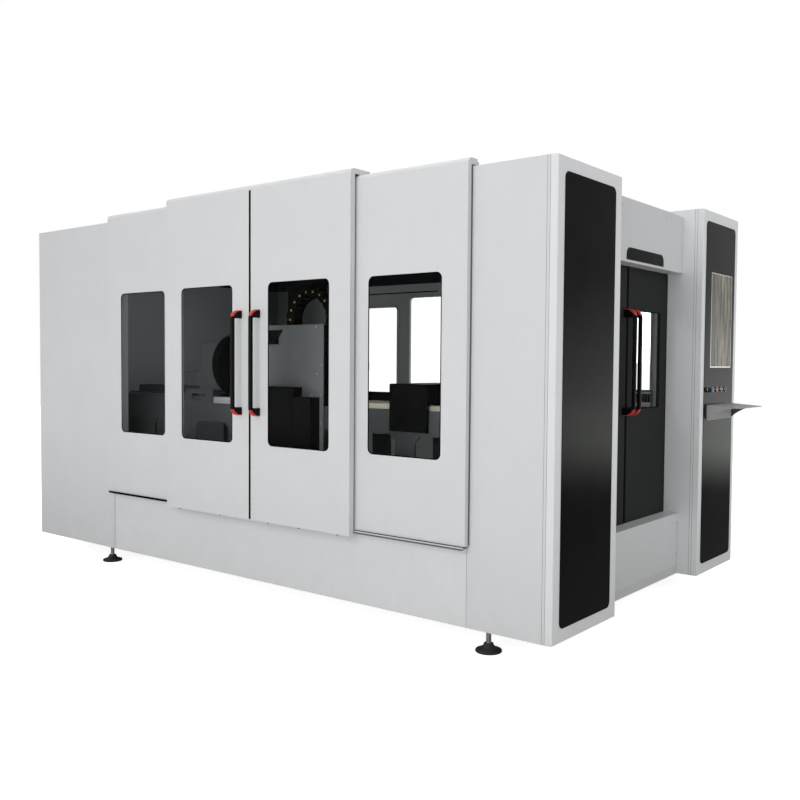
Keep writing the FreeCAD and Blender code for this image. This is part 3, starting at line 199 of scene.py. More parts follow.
# %% Floor
bpy.ops.mesh.primitive_plane_add(size=40, location=(0, 0, -0.0005))
floor = bpy.context.object
floor.name = "studio_floor"
floor_paint = bpy.data.materials.new("studio_floor_paint")
floor_paint.use_nodes = True
tree = floor_paint.node_tree
tree.nodes.clear()
matt = node(tree, "ShaderNodeBsdfDiffuse", Color=(0.80, 0.80, 0.80, 1))
glow = node(tree, "ShaderNodeEmission", Color=WHITE, Strength=0.86)
lift = node(tree, "ShaderNodeAddShader")
tree.links.new(matt.outputs[0], lift.inputs[0])
tree.links.new(glow.outputs[0], lift.inputs[1])
shown = mixed(tree, seen_directly(tree), matt.outputs[0], lift.outputs[0])
distance = node(tree, "ShaderNodeVectorMath", operation="LENGTH")
tree.links.new(node(tree, "ShaderNodeTexCoord").outputs["Object"], distance.inputs[0])
far_floor = ramp(tree, distance.outputs["Value"], 6.0, 10.4, 0.15, 1.9)
reflected = node(tree, "ShaderNodeEmission", Color=(0.95, 1.0, 0.93, 1))
tree.links.new(far_floor, reflected.inputs["Strength"])
tree.links.new(mixed(tree, seen_mirrored(tree), shown, reflected.outputs[0]),
               node(tree, "ShaderNodeOutputMaterial").inputs[0])
floor.data.materials.append(floor_paint)
scene.view_settings.view_transform = "Standard"
print("floor", tuple(floor.dimensions.xy))

# %% [markdown]
# Folded sheet, powder coated, is the machine's main finish. Close up it has a fine orange peel;
# at arm's length the large panels are never quite flat, so reflections waver; and in a workshop
# a little dust gathers low down. Each of these is one node group, used by many materials with
# its own values, because the same three effects return in black, grey and white.


# %% Shared effects as node groups
def effect(name, inputs, outputs):
    """Start a node group with inputs (name, value) and named outputs, all of them numbers."""
    group = bpy.data.node_groups.new(name, "ShaderNodeTree")
    for label, value in inputs:
        socket = group.interface.new_socket(label, in_out="INPUT", socket_type="NodeSocketFloat")
        socket.default_value = value
    for label in outputs:
        group.interface.new_socket(label, in_out="OUTPUT", socket_type="NodeSocketFloat")
    return group, node(group, "NodeGroupInput"), node(group, "NodeGroupOutput")


def object_place(tree):
    """A point's own place in metres, since every object's origin is the machine's."""
    return node(tree, "ShaderNodeTexCoord").outputs["Object"]


def object_axes(tree):
    """The X, Y and Z of a point's own place."""
    split = node(tree, "ShaderNodeSeparateXYZ")
    tree.links.new(object_place(tree), split.inputs[0])
    return split.outputs


def all_of(tree, tests):
    """1 where every test gives 1: their product."""
    product = tests[0]
    for test in tests[1:]:
        product = chain_math(tree, "MULTIPLY", product, test)
    return product


def noise(tree, place, scale, detail=2.0, roughness=0.5):
    """Noise on a place socket; the scale is a number or a socket."""
    made = node(tree, "ShaderNodeTexNoise", Detail=detail, Roughness=roughness)
    tree.links.new(place, made.inputs["Vector"])
    feed(tree, made.inputs["Scale"], scale)
    return made.outputs["Fac"]


peel, peel_in, peel_out = effect("orange_peel", [("Grain per metre", 900.0), ("Depth", 1.0)],
                                 ["Height"])
place = object_place(peel)
fine = noise(peel, place, peel_in.outputs["Grain per metre"], detail=1.0)
broad = noise(peel, place, 3.1)
height = chain_math(peel, "MULTIPLY", fine, peel_in.outputs["Depth"])
waves = chain_math(peel, "MULTIPLY", broad, 14.0)
peel.links.new(chain_math(peel, "ADD", height, waves), peel_out.inputs["Height"])

wear, wear_in, wear_out = effect("handling_marks", [("Patches per metre", 5.0), ("Smears", 0.5)],
                                 ["Mask"])
place = object_place(wear)
patches = noise(wear, place, wear_in.outputs["Patches per metre"], detail=5.0, roughness=0.6)
stretch = node(wear, "ShaderNodeMapping")
stretch.inputs["Scale"].default_value = (9.0, 9.0, 1.1)
wear.links.new(place, stretch.inputs["Vector"])
smears = noise(wear, stretch.outputs[0], 4.0, detail=4.0, roughness=0.65)
smears = chain_math(wear, "MULTIPLY", smears, wear_in.outputs["Smears"])
total = chain_math(wear, "ADD", patches, smears)
wear.links.new(ramp(wear, total, 0.45, 1.05), wear_out.inputs["Mask"])

dust, dust_in, dust_out = effect("low_dust", [("Bottom", 0.1), ("Top", 0.7)], ["Mask"])
fade = ramp(dust, object_axes(dust)["Z"], dust_in.outputs["Bottom"], dust_in.outputs["Top"],
            1.0, 0.0)
cloud = noise(dust, object_place(dust), 11.0, detail=6.0, roughness=0.65)
dust.links.new(chain_math(dust, "MULTIPLY", fade, cloud), dust_out.inputs["Mask"])
print("groups", [g.name for g in bpy.data.node_groups])

# %% [markdown]
# The cabin is one shell of thin sheet, white outside. Inside, the coat is painted shade for the dim
# cabin: a darker grey, black above the windows as painted shade under the roof, and darker still
# towards the far left corner as painted shade. Both faces belong to the same solids, so the paint
# asks where a point lies: within the cabin's box it is the inner coat, but not on the door jambs,
# which are outer sheet folded inwards. The box is read from the solids.


# %% The coat inside the cabin
def corner(name, side):
    """Lowest (0) or highest (1) corner of a solid node."""
    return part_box(name)[side]


SKIN, FOLD = 0.001, 0.0006
cabin_low = Vector((corner("left_cabinet", 0).x + SKIN, corner("left_cabinet", 0).y + SKIN, 0))
cabin_high = Vector((corner("end_door_near", 1).x + SKIN, corner("left_cabinet", 1).y - SKIN,
                     corner("roof_panel", 1).z - SKIN))

# painted shade: above this height the cabin's inside is coloured black, for the shade under the
# roof
TOP_SHADE_Z = 1.888
cabin, _, cabin_out = effect("inside_the_cabin", [], ["Mask", "Top shade", "Corner shade"])
axes = object_axes(cabin)
tests = [chain_math(cabin, side, axes[axis], limit) for side, axis, limit in (
    ("GREATER_THAN", "X", cabin_low.x), ("LESS_THAN", "X", cabin_high.x),
    ("GREATER_THAN", "Y", cabin_low.y), ("LESS_THAN", "Y", cabin_high.y),
    ("LESS_THAN", "Z", cabin_high.z))]
for jamb_x in (corner("left_cabinet", 1).x, corner("front_column", 0).x):
    away = chain_math(cabin, "SUBTRACT", axes["X"], jamb_x)
    tests.append(chain_math(cabin, "GREATER_THAN", chain_math(cabin, "ABSOLUTE", away, 0.0), FOLD))
cabin.links.new(all_of(cabin, tests), cabin_out.inputs["Mask"])
above = chain_math(cabin, "GREATER_THAN", axes["Z"], TOP_SHADE_Z)
cabin.links.new(above, cabin_out.inputs["Top shade"])
# painted shade: the inside darkens towards the far left rear corner
to_rear, to_left = ramp(cabin, axes["Y"], 0.68, 0.98), ramp(cabin, axes["X"], -1.30, -1.65)
corner_shade = chain_math(cabin, "MULTIPLY", to_rear, to_left)
cabin.links.new(chain_math(cabin, "MULTIPLY", corner_shade, 0.72), cabin_out.inputs["Corner shade"])
print("cabin", tuple(round(c, 3) for c in cabin_low), tuple(round(c, 3) for c in cabin_high))

# %% [markdown]
# The paints are built by one function: a base colour that shifts slightly with handling, dust that
# gathers low down, orange peel in the bump, and a roughness that follows the marks. Plain numbers,
# such as the specular level, stay on the shader's own sockets. Two paints ask where they are as
# well: the keyboard tray has painted shade on the inside of its far cheek, and the covers of the
# drives are black at one end of the bed and slate at the other, a slate that is partly their own
# colour and partly painted light where that end lies dim.


# %% Paint
def rgba(colour):
    return (*colour, 1.0)


def blend_colour(tree, factor, first, second):
    """Colour between two, by a socket; each is a colour or a socket."""
    mix = node(tree, "ShaderNodeMix", data_type="RGBA")
    tree.links.new(factor, mix.inputs[0])
    for socket, source in ((mix.inputs[6], first), (mix.inputs[7], second)):
        if isinstance(source, tuple):
            socket.default_value = rgba(source)
        else:
            tree.links.new(source, socket)
    return mix.outputs[2]


def use(tree, group_name, **values):
    """Place a shared effect in a material, with its own values; gives the node."""
    placed = node(tree, "ShaderNodeGroup", node_tree=bpy.data.node_groups[group_name])
    for key, value in values.items():
        placed.inputs[key.replace("_", " ")].default_value = value
    return placed


def new_finish(name, **shader_values):
    """Empty material with a shader and its output; gives the material, tree and shader."""
    finish = bpy.data.materials.new(name)
    finish.use_nodes = True
    tree = finish.node_tree
    tree.nodes.clear()
    shader = node(tree, "ShaderNodeBsdfPrincipled", **shader_values)
    tree.links.new(shader.outputs[0], node(tree, "ShaderNodeOutputMaterial").inputs[0])
    return finish, tree, shader


def marks_to_roughness(tree, shader, mask, low, high):
    tree.links.new(ramp(tree, mask, to_low=low, to_high=high), shader.inputs["Roughness"])


def height_to_normal(tree, shader, height, distance):
    bump = node(tree, "ShaderNodeBump", Strength=1.0, Distance=distance)
    tree.links.new(height, bump.inputs["Height"])
    tree.links.new(bump.outputs[0], shader.inputs["Normal"])


# colours of painted shade inside the cabin: the far left corner and the band under the roof
CORNER_SHADE_COLOUR, TOP_SHADE_COLOUR = (0.012, 0.014, 0.015), (0.014, 0.017, 0.019)


def painted(name, colour, worn, roughness, dust_colour=(0.36, 0.34, 0.31), dust_share=0.25,
            bump=0.00006, grain=900.0, inner=None, **shader_values):
    """Powder-coated or painted sheet; an inner colour, if given, is painted shade inside the cabin.
    """
    finish, tree, shader = new_finish(name, **shader_values)
    marks = use(tree, "handling_marks", Patches_per_metre=4.0, Smears=0.5).outputs["Mask"]
    coat = blend_colour(tree, marks, colour, worn)
    low = use(tree, "low_dust", Bottom=0.05, Top=0.6).outputs["Mask"]
    coat = blend_colour(tree, chain_math(tree, "MULTIPLY", low, dust_share), coat, dust_colour)
    if inner:
        # painted shade: inside the cabin the coat turns to the inner colour, darker in the far left
        # corner and black under the roof
        where = use(tree, "inside_the_cabin")
        inner_coat = blend_colour(tree, where.outputs["Corner shade"], inner, CORNER_SHADE_COLOUR)
        inner_coat = blend_colour(tree, where.outputs["Top shade"], inner_coat, TOP_SHADE_COLOUR)
        coat = blend_colour(tree, where.outputs["Mask"], coat, inner_coat)
    tree.links.new(coat, shader.inputs["Base Color"])
    marks_to_roughness(tree, shader, marks, *roughness)
    height = use(tree, "orange_peel", Grain_per_metre=grain).outputs["Height"]
    height_to_normal(tree, shader, height, bump)
    return finish


SATIN, LESS_SATIN, MATT = (0.34, 0.46), (0.36, 0.48), (0.42, 0.56)
# painted shade: this grey darkens the cabin's inside for the shade of the dim cabin
inner_grey = (0.34, 0.365, 0.385)
white_shell = painted("white_shell_paint", (0.70, 0.71, 0.725), (0.67, 0.68, 0.69), SATIN,
                      inner=inner_grey, Specular_IOR_Level=0.4)
# painted light: the covers and the recessed control column get a paler copy of the shell's white,
# standing in for light they lack
cover_lit_white = painted("cover_lit_white_paint", (0.80, 0.81, 0.825), (0.76, 0.77, 0.78), SATIN,
                      inner=inner_grey, Specular_IOR_Level=0.4)
# painted light: the apron under the doors gets a paler copy of the shell's white
apron_lit_white = painted("apron_lit_paint", (0.755, 0.765, 0.78), (0.72, 0.73, 0.74), SATIN,
                      inner=inner_grey, Specular_IOR_Level=0.4)
# painted shade and painted light: the rear wall's inside is a paler grey than the other walls',
# lightened to stand in for light it lacks
rear_shell = painted("rear_wall_paint", (0.70, 0.71, 0.725), (0.67, 0.68, 0.69), SATIN,
                     inner=(0.50, 0.52, 0.52), Specular_IOR_Level=0.4)
# painted shade: the recessed header and end sill get a darker copy of the shell's white
end_frame_shaded = painted("end_frame_shaded_paint", (0.65, 0.67, 0.68), (0.62, 0.63, 0.64), LESS_SATIN,
                    inner=inner_grey, Specular_IOR_Level=0.4)
white_doors = painted("white_door_paint", (0.71, 0.72, 0.735), (0.68, 0.69, 0.70), SATIN,
                      Specular_IOR_Level=0.4)
source_grey = painted("laser_source_paint", inner_grey, (0.30, 0.32, 0.34), MATT)
unit_grey = painted("travelling_unit_paint", (0.085, 0.092, 0.098), (0.070, 0.076, 0.080), MATT)
light_frame = painted("light_frame_paint", (0.62, 0.63, 0.64), (0.55, 0.56, 0.57), (0.42, 0.60))
bed_grey = painted("bed_grey_paint", (0.080, 0.088, 0.094), (0.066, 0.072, 0.077), (0.42, 0.60),
                   dust_colour=(0.22, 0.21, 0.19), dust_share=0.5)
# painted shade: the white headstock cover inside the dim cabin is coloured dark grey
headstock_shaded_white = painted("headstock_shaded_white_paint", (0.215, 0.225, 0.23), (0.19, 0.20, 0.20),
                          (0.40, 0.55))
black_leaf = painted("black_leaf_paint", (0.024, 0.025, 0.026), (0.029, 0.030, 0.030),
                     (0.38, 0.52), dust_share=0.06, Specular_IOR_Level=0.02)
black_cover = painted("black_cover_paint", (0.003, 0.003, 0.0035), (0.006, 0.006, 0.0065),
                      (0.40, 0.55), dust_share=0.03, Specular_IOR_Level=0.04)
channel_white = painted("sill_channel_paint", (0.62, 0.63, 0.64), (0.58, 0.59, 0.60),
                        (0.42, 0.55))
rear_frame_white = painted("rear_frame_paint", (0.82, 0.83, 0.84), (0.77, 0.78, 0.78),
                           (0.42, 0.55))
gloss_sheet = painted("gloss_black_sheet", (0.004, 0.004, 0.0042), (0.006, 0.006, 0.0062),
                      (0.10, 0.18), dust_share=0.03, grain=400.0, bump=0.00001,
                      Specular_IOR_Level=0.05)
print("paints", [m.name for m in bpy.data.materials if "paint" in m.name or "sheet" in m.name])

# %% Two paints that change with the place
light_sheet = painted("light_sheet_paint", (0.44, 0.445, 0.44), (0.39, 0.395, 0.39), (0.45, 0.60),
                      Specular_IOR_Level=0.02)
tree, far_side = light_sheet.node_tree, corner("keyboard_tray", 1).y
across = object_axes(tree)["Y"]
# painted shade: the inside of the tray's far cheek, under the near cheek, is coloured dark
far_cheek_shade = all_of(tree, [chain_math(tree, "GREATER_THAN", across, far_side - 0.006),
                          chain_math(tree, "LESS_THAN", across, far_side - 0.0004)])
coat_input = tree.nodes["Principled BSDF"].inputs["Base Color"]
outer_coat = coat_input.links[0].from_socket
tree.links.new(blend_colour(tree, far_cheek_shade, outer_coat, (0.115, 0.120, 0.110)), coat_input)

drive_cover, tree, shader = new_finish("drive_cover_paint", Specular_IOR_Level=0.06)
black_from_x = corner("headstock_cover", 0).x - 0.03
black_end = chain_math(tree, "GREATER_THAN", object_axes(tree)["X"], black_from_x)
worn = use(tree, "handling_marks", Patches_per_metre=5.0, Smears=0.5).outputs["Mask"]
# partly painted light: the far end's covers are a slate that is partly their own colour and partly
# made paler where that end lies dim
lit_slate = blend_colour(tree, worn, (0.075, 0.082, 0.087), (0.062, 0.068, 0.072))
black = blend_colour(tree, worn, (0.003, 0.003, 0.0035), (0.007, 0.007, 0.0075))
tree.links.new(blend_colour(tree, black_end, lit_slate, black), shader.inputs["Base Color"])
marks_to_roughness(tree, shader, worn, 0.40, 0.55)
height_to_normal(tree, shader, use(tree, "orange_peel").outputs["Height"], 0.00006)
print("drive covers black from x", round(black_from_x, 4))

# %% [markdown]
# Metals and plastics need a grain instead of a coat. Ground steel shows lines along the way it was
# ground, zinc plating is cloudy, moulded plastic and rubber have a fine even texture. The lines
# come from noise that is squeezed along one axis. The bed's rails are coloured dark behind the
# fixed headstock as painted shade, and are pale in front of it.

# %% Metals, rubber and plastics
grain, grain_in, grain_out = effect(
    "ground_lines", [("Along X", 1.0), ("Along Y", 1.0), ("Along Z", 1.0),
                     ("Lines per metre", 700.0)], ["Mask"])
shares = node(grain, "ShaderNodeCombineXYZ")
for axis in "XYZ":
    grain.links.new(grain_in.outputs["Along " + axis], shares.inputs[axis])
squeezed = node(grain, "ShaderNodeVectorMath", operation="MULTIPLY")
grain.links.new(object_place(grain), squeezed.inputs[0])
grain.links.new(shares.outputs[0], squeezed.inputs[1])
lines = noise(grain, squeezed.outputs[0], grain_in.outputs["Lines per metre"], detail=3.0)
grain.links.new(lines, grain_out.inputs["Mask"])


def metal(name, colour, dull, roughness, along=(0.02, 1.0, 1.0), lines=700.0):
    """Bare metal with ground lines squeezed along one axis."""
    finish, tree, shader = new_finish(name, Metallic=1.0)
    mask = use(tree, "ground_lines", Along_X=along[0], Along_Y=along[1], Along_Z=along[2],
               Lines_per_metre=lines).outputs["Mask"]
    marks = use(tree, "handling_marks", Patches_per_metre=24.0, Smears=0.2).outputs["Mask"]
    both = chain_math(tree, "MULTIPLY", chain_math(tree, "ADD", mask, marks), 0.6)
    tree.links.new(blend_colour(tree, both, colour, dull), shader.inputs["Base Color"])
    marks_to_roughness(tree, shader, both, *roughness)
    height_to_normal(tree, shader, mask, 0.00001)
    return finish


def moulded(name, colour, worn, roughness, grain=1600.0, bump=0.00005, **shader_values):
    """Moulded plastic or rubber: fine even texture, a little paler where it is touched."""
    finish, tree, shader = new_finish(name, **shader_values)
    marks = use(tree, "handling_marks", Patches_per_metre=30.0, Smears=0.3).outputs["Mask"]
    tree.links.new(blend_colour(tree, marks, colour, worn), shader.inputs["Base Color"])
    marks_to_roughness(tree, shader, marks, *roughness)
    height = use(tree, "orange_peel", Grain_per_metre=grain).outputs["Height"]
    height_to_normal(tree, shader, height, bump)
    return finish


ground_steel = metal("ground_steel", (0.56, 0.55, 0.52), (0.42, 0.41, 0.39), (0.22, 0.42))
rail_steel, tree, shader = new_finish("oiled_rail_steel", Metallic=0.35)
# painted shade: the rails are dark behind the fixed headstock and pale in front of it
out_of_shade = ramp(tree, object_axes(tree)["X"], -0.10, 0.30)
tree.links.new(blend_colour(tree, out_of_shade, (0.095, 0.102, 0.107), (0.62, 0.58, 0.47)),
               shader.inputs["Base Color"])
oil = use(tree, "handling_marks", Patches_per_metre=9.0, Smears=0.4).outputs["Mask"]
marks_to_roughness(tree, shader, oil, 0.24, 0.48)
turned_steel = metal("turned_steel", (0.50, 0.50, 0.50), (0.38, 0.38, 0.38), (0.22, 0.40),
                     along=(1.0, 0.25, 0.25))
EVEN = (1.0, 1.0, 1.0)
zinc = metal("zinc_plating", (0.66, 0.66, 0.64), (0.50, 0.50, 0.48), (0.20, 0.38), EVEN, 260.0)
bright_metal = metal("bright_metal", (0.72, 0.72, 0.73), (0.60, 0.60, 0.61), (0.12, 0.26), EVEN)
satin_aluminium = metal("satin_aluminium", (0.60, 0.61, 0.62), (0.52, 0.53, 0.54), (0.28, 0.42),
                        along=(1.0, 1.0, 0.03))
copper = metal("copper_nozzle", (0.75, 0.36, 0.20), (0.55, 0.25, 0.14), (0.20, 0.38),
               along=(1.0, 1.0, 0.2))
seal_rubber = moulded("seal_rubber", (0.004, 0.004, 0.004), (0.007, 0.007, 0.007), (0.80, 0.90),
                      Specular_IOR_Level=0.02)
rubber = moulded("black_rubber", (0.014, 0.014, 0.014), (0.030, 0.029, 0.028), (0.62, 0.80))
sealant = moulded("joint_sealant", (0.10, 0.105, 0.11), (0.14, 0.14, 0.14), (0.50, 0.65))
ceramic = moulded("white_ceramic", (0.62, 0.61, 0.57), (0.55, 0.54, 0.50), (0.30, 0.42))
nylon = moulded("black_nylon", (0.003, 0.003, 0.0035), (0.006, 0.006, 0.0065), (0.42, 0.58),
                Specular_IOR_Level=0.06)
handle_plastic = moulded("handle_plastic", (0.0035, 0.0038, 0.0045), (0.006, 0.0062, 0.007),
                         SATIN, Specular_IOR_Level=0.09)
red_plastic = moulded("red_inlay", (0.66, 0.045, 0.028), (0.58, 0.06, 0.04), (0.30, 0.42))
brass = moulded("brass", (0.86, 0.60, 0.17), (0.70, 0.47, 0.12), (0.25, 0.40), Metallic=0.5)
black_steel = moulded("blackened_steel", (0.002, 0.002, 0.0025), (0.005, 0.005, 0.0055), SATIN,
                      grain=500.0, bump=0.00001, Specular_IOR_Level=0.02)
GLOSSY = (0.22, 0.34)
cap_blue = moulded("cap_blue", (0.015, 0.12, 0.60), (0.03, 0.14, 0.56), GLOSSY, grain=900.0)
cap_red = moulded("cap_red", (0.60, 0.010, 0.010), (0.54, 0.02, 0.02), GLOSSY, grain=900.0)
cap_green = moulded("cap_green", (0.01, 0.36, 0.07), (0.02, 0.36, 0.09), GLOSSY, grain=900.0)
cap_black = moulded("cap_black", (0.016, 0.016, 0.017), (0.028, 0.028, 0.028), (0.28, 0.40),
                    grain=900.0)
print("finishes so far", len(bpy.data.materials))

# %% [markdown]
# Safety glass is a clear pane with a grey tint and faint wiping streaks. A closed pane bends
# lamp rays, so its shadow would be black: for shadow and matt rays the same material is plainly
# see-through, in the pane's own tint, which is how a thin pane lights a room.

# %% Glass
TINT, WIPED, THROUGH = (0.975, 0.985, 0.985), 0.96, (0.94, 0.95, 0.95)
door_glass, tree, shader = new_finish("door_glass", Transmission_Weight=1.0, IOR=1.05)
marks = use(tree, "handling_marks", Patches_per_metre=3.0, Smears=0.9).outputs["Mask"]
streaky = blend_colour(tree, marks, TINT, tuple(WIPED * c for c in TINT))
tree.links.new(streaky, shader.inputs["Base Color"])
marks_to_roughness(tree, shader, marks, 0.0, 0.03)
clear = node(tree, "ShaderNodeBsdfTransparent", Color=rgba(THROUGH))
rays = node(tree, "ShaderNodeLightPath").outputs
lamp_or_matt = chain_math(tree, "MAXIMUM", rays["Is Shadow Ray"], rays["Is Diffuse Ray"])
tree.links.new(mixed(tree, lamp_or_matt, shader.outputs[0], clear.outputs[0]),
               tree.nodes["Material Output"].inputs[0])
print("glass", door_glass.name)

# %% [markdown]
# The monitor is one solid with a thin raised rim. Its material is told apart by place: within the
# rim's width of the edge it is bright metal, and the rest is dark glass with a painted reflection
# of the surroundings in pale upright streaks, which fades towards the near side.

# %% Monitor
RIM = 0.007
screen, tree, shader = new_finish("monitor_screen", Specular_IOR_Level=0.10)
screen_low, screen_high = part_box("monitor")
axes = object_axes(tree)
within = all_of(tree, [chain_math(tree, side, axes[axis], limit) for side, axis, limit in (
    ("GREATER_THAN", "Y", screen_low.y + RIM), ("LESS_THAN", "Y", screen_high.y - RIM),
    ("GREATER_THAN", "Z", screen_low.z + RIM), ("LESS_THAN", "Z", screen_high.z - RIM))])
marks = use(tree, "handling_marks", Patches_per_metre=7.0, Smears=0.6).outputs["Mask"]
# painted reflection: pale upright streaks in the screen's colour stand for the surroundings
# mirrored in the glass
reflection_stretch = node(tree, "ShaderNodeMapping", Rotation=(0.12, 0, 0), Scale=(1.0, 11.0, 1.3))
tree.links.new(object_place(tree), reflection_stretch.inputs["Vector"])
streaks = noise(tree, reflection_stretch.outputs[0], 3.2, detail=6.0, roughness=0.62)
middle_y = (screen_low.y + screen_high.y) / 2
reflection_fade = ramp(tree, axes["Y"], screen_low.y, middle_y, to_low=0.15)
painted_reflection = chain_math(tree, "MULTIPLY", ramp(tree, streaks, 0.38, 0.66), reflection_fade)
glass_with_reflection = blend_colour(tree, painted_reflection, (0.105, 0.100, 0.080), (0.37, 0.345, 0.262))
tree.links.new(blend_colour(tree, within, (0.60, 0.60, 0.61), glass_with_reflection),
               shader.inputs["Base Color"])
tree.links.new(chain_math(tree, "SUBTRACT", 1.0, within), shader.inputs["Metallic"])
marks_to_roughness(tree, shader, marks, 0.06, 0.20)
height_to_normal(tree, shader, streaks, 0.004)
print("screen", tuple(round(c, 3) for c in screen_low), tuple(round(c, 3) for c in screen_high))

# %% [markdown]
# Each solid node now gets its finish. The list reads like a painter's schedule, and the line
# printed at its end names any node that is left with the plain colour it came with.

# %% Finish schedule of the solid nodes
schedule = {
    white_shell: ["left_cabinet", "front_column", "roof_panel"],
    apron_lit_white: ["front_sill"],
    cover_lit_white: ["column_covers", "control_column"],
    rear_shell: ["rear_wall"],
    end_frame_shaded: ["header_panel", "end_sill"],
    source_grey: ["laser_source"],
    unit_grey: ["rear_headstock"],
    channel_white: ["sill_channel"],
    white_doors: ["front_door_1", "front_door_2", "front_door_3", "front_door_4"],
    headstock_shaded_white: ["headstock_cover", "front_headstock"],
    light_frame: ["base_frame"],
    bed_grey: ["bed"],
    black_leaf: ["end_door_near", "end_door_far"],
    black_cover: ["head_bracket", "tail_support"],
    drive_cover: ["drive_covers"],
    light_sheet: ["keyboard_tray"],
    gloss_sheet: ["black_panels", "control_panel"],
    door_glass: ["front_window_1", "front_window_2", "front_window_3", "front_window_4",
                 "end_window_near", "end_window_far", "rear_glass"],
    screen: ["monitor"],
    ground_steel: ["roof_rails", "end_door_track"],
    rail_steel: ["bed_rails"],
    turned_steel: ["chuck_jaw_1", "chuck_jaw_2", "chuck_jaw_3", "chuck_jaw_4"],
    black_steel: ["front_chuck", "rear_chuck"],
    zinc: ["foot_studs"],
    rubber: ["foot_pads"],
    nylon: ["cable_chain"],
    handle_plastic: ["front_handle_2", "front_handle_3", "end_handle_near", "end_handle_far"],
    bright_metal: ["button_bezels"],
    cap_black: ["selector_knob", "black_button"],
    cap_blue: ["blue_button"],
    cap_red: ["red_button"],
    cap_green: ["green_button"],
    satin_aluminium: ["cross_carriage", "cutting_head"],
}
for finish, names in schedule.items():
    for name in names:
        nodes[name].data.materials.clear()
        nodes[name].data.materials.append(finish)
left_over = set(nodes) - {name for names in schedule.values() for name in names}
print(len(nodes), "nodes finished, left over:", sorted(left_over))

# %% [markdown]
# The new pieces are made as by hand: a primitive, shaped in edit mode with extrude, inset, bevel
# and spin. An operator acts on whatever is selected, so two helpers come first: one that leaves
# only one object selected, and one that picks faces, edges or corners of it by where they are.


# %% Helpers for selecting and finishing
def nothing():
    """Object mode, with nothing selected, before a primitive is added."""
    if bpy.context.object and bpy.context.object.mode != "OBJECT":
        bpy.ops.object.mode_set(mode="OBJECT")
    bpy.ops.object.select_all(action="DESELECT")


def only(obj):
    """Object mode, with just this object selected and active."""
    nothing()
    obj.select_set(True)
    bpy.context.view_layer.objects.active = obj


def pick(obj, kind, test):
    """Edit mode, with the faces, edges or corners selected that pass a test.

    The test gets a face's centre and normal, an edge's middle and direction, or a corner's
    place and normal.
    """
    only(obj)
    scene.tool_settings.mesh_select_mode = [kind == each for each in ("VERT", "EDGE", "FACE")]
    mesh = obj.data
    for group in (mesh.vertices, mesh.edges, mesh.polygons):
        group.foreach_set("select", [False] * len(group))
    if kind == "FACE":
        for face in mesh.polygons:
            face.select = test(face.center, face.normal)
    elif kind == "EDGE":
        for edge in mesh.edges:
            a, b = (mesh.vertices[i].co for i in edge.vertices)
            edge.select = test((a + b) / 2, (b - a).normalized())
    else:
        for corner_point in mesh.vertices:
            corner_point.select = test(corner_point.co, corner_point.normal)
    bpy.ops.object.mode_set(mode="EDIT")


def everything(obj):
    only(obj)
    bpy.ops.object.mode_set(mode="EDIT")
    bpy.ops.mesh.select_all(action="SELECT")


def push(vector):
    """Extrude what is selected along a vector."""
    bpy.ops.mesh.extrude_region_move(TRANSFORM_OT_translate={"value": vector})


def settle(obj):
    """Turn the object's own place, turn and scale into its mesh."""
    only(obj)
    bpy.ops.object.transform_apply(location=True, rotation=True, scale=True)


def close_up(obj, angle=35.0):
    """Merge doubles, turn the faces outwards and smooth all but the sharp edges."""
    everything(obj)
    bpy.ops.mesh.remove_doubles(threshold=0.00001)
    bpy.ops.mesh.normals_make_consistent(inside=False)
    only(obj)
    bpy.ops.object.shade_smooth_by_angle(angle=math.radians(angle))


def fit_out(obj, name, finish, body):
    """Name a finished piece, give it its finish and let it ride on its body."""
    obj.name = name
    obj.data.name = name
    obj.data.materials.clear()
    obj.data.materials.append(finish)
    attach(obj, body)
    return obj


def copy_of(obj, move=(0, 0, 0), turn=None):
    """Copy with its own mesh, turned about the origin and moved."""
    twin = obj.copy()
    twin.data = obj.data.copy()
    scene.collection.objects.link(twin)
    twin.parent = None
    twin.matrix_world = Matrix.Translation(move) @ (turn or Matrix.Identity(4))
    settle(twin)
    return twin


def joined(pieces):
    """Several objects as one."""
    only(pieces[0])
    for piece in pieces:
        piece.select_set(True)
    bpy.ops.object.join()
    return bpy.context.object


def box_piece(low, high, bevel=0.0, segments=2):
    """Box between two corners with broken edges, as the start of folded or cut parts."""
    nothing()
    low, high = Vector(low), Vector(high)
    bpy.ops.mesh.primitive_cube_add(size=1.0, location=(low + high) / 2)
    obj = bpy.context.object
    obj.scale = high - low
    settle(obj)
    if bevel:
        everything(obj)
        bpy.ops.mesh.bevel(offset=bevel, segments=segments, affect="EDGES")
    only(obj)
    return obj


def turned_piece(place, rings, sides=32):
    """Round piece about the upright through a place: rings of (radius, height)."""
    nothing()
    x, y, z = place
    radius, height = rings[0]
    bpy.ops.mesh.primitive_circle_add(vertices=sides, radius=radius, location=(x, y, z + height))
    obj = bpy.context.object
    settle(obj)
    everything(obj)
    bpy.ops.mesh.edge_face_add()
    pick(obj, "EDGE", lambda c, d: True)
    for next_radius, next_height in rings[1:]:
        push((0, 0, next_height - height))
        share = next_radius / radius
        bpy.ops.transform.resize(value=(share, share, 1), center_override=(x, y, z + next_height))
        radius, height = next_radius, next_height
    bpy.ops.mesh.edge_face_add()
    close_up(obj)
    return obj


print("helpers ready")

# %% [markdown]
# The bow handles are moulded bars with thicker legs and a red cap round the outside of each
# bend. The profile is one rounded rectangle; it goes straight out of the door, spins through a
# quarter turn, runs up the bar, spins again and goes back in. Spin makes the outer bend exactly
# round, which a bevelled corner on a frame would not. The inner vertices of the leg and of each
# ring in the bend are then moved inwards onto a nearly square corner, which makes the legs
# thick. The cap is spun the same way and starts thin at the door, so its underside is lifted.

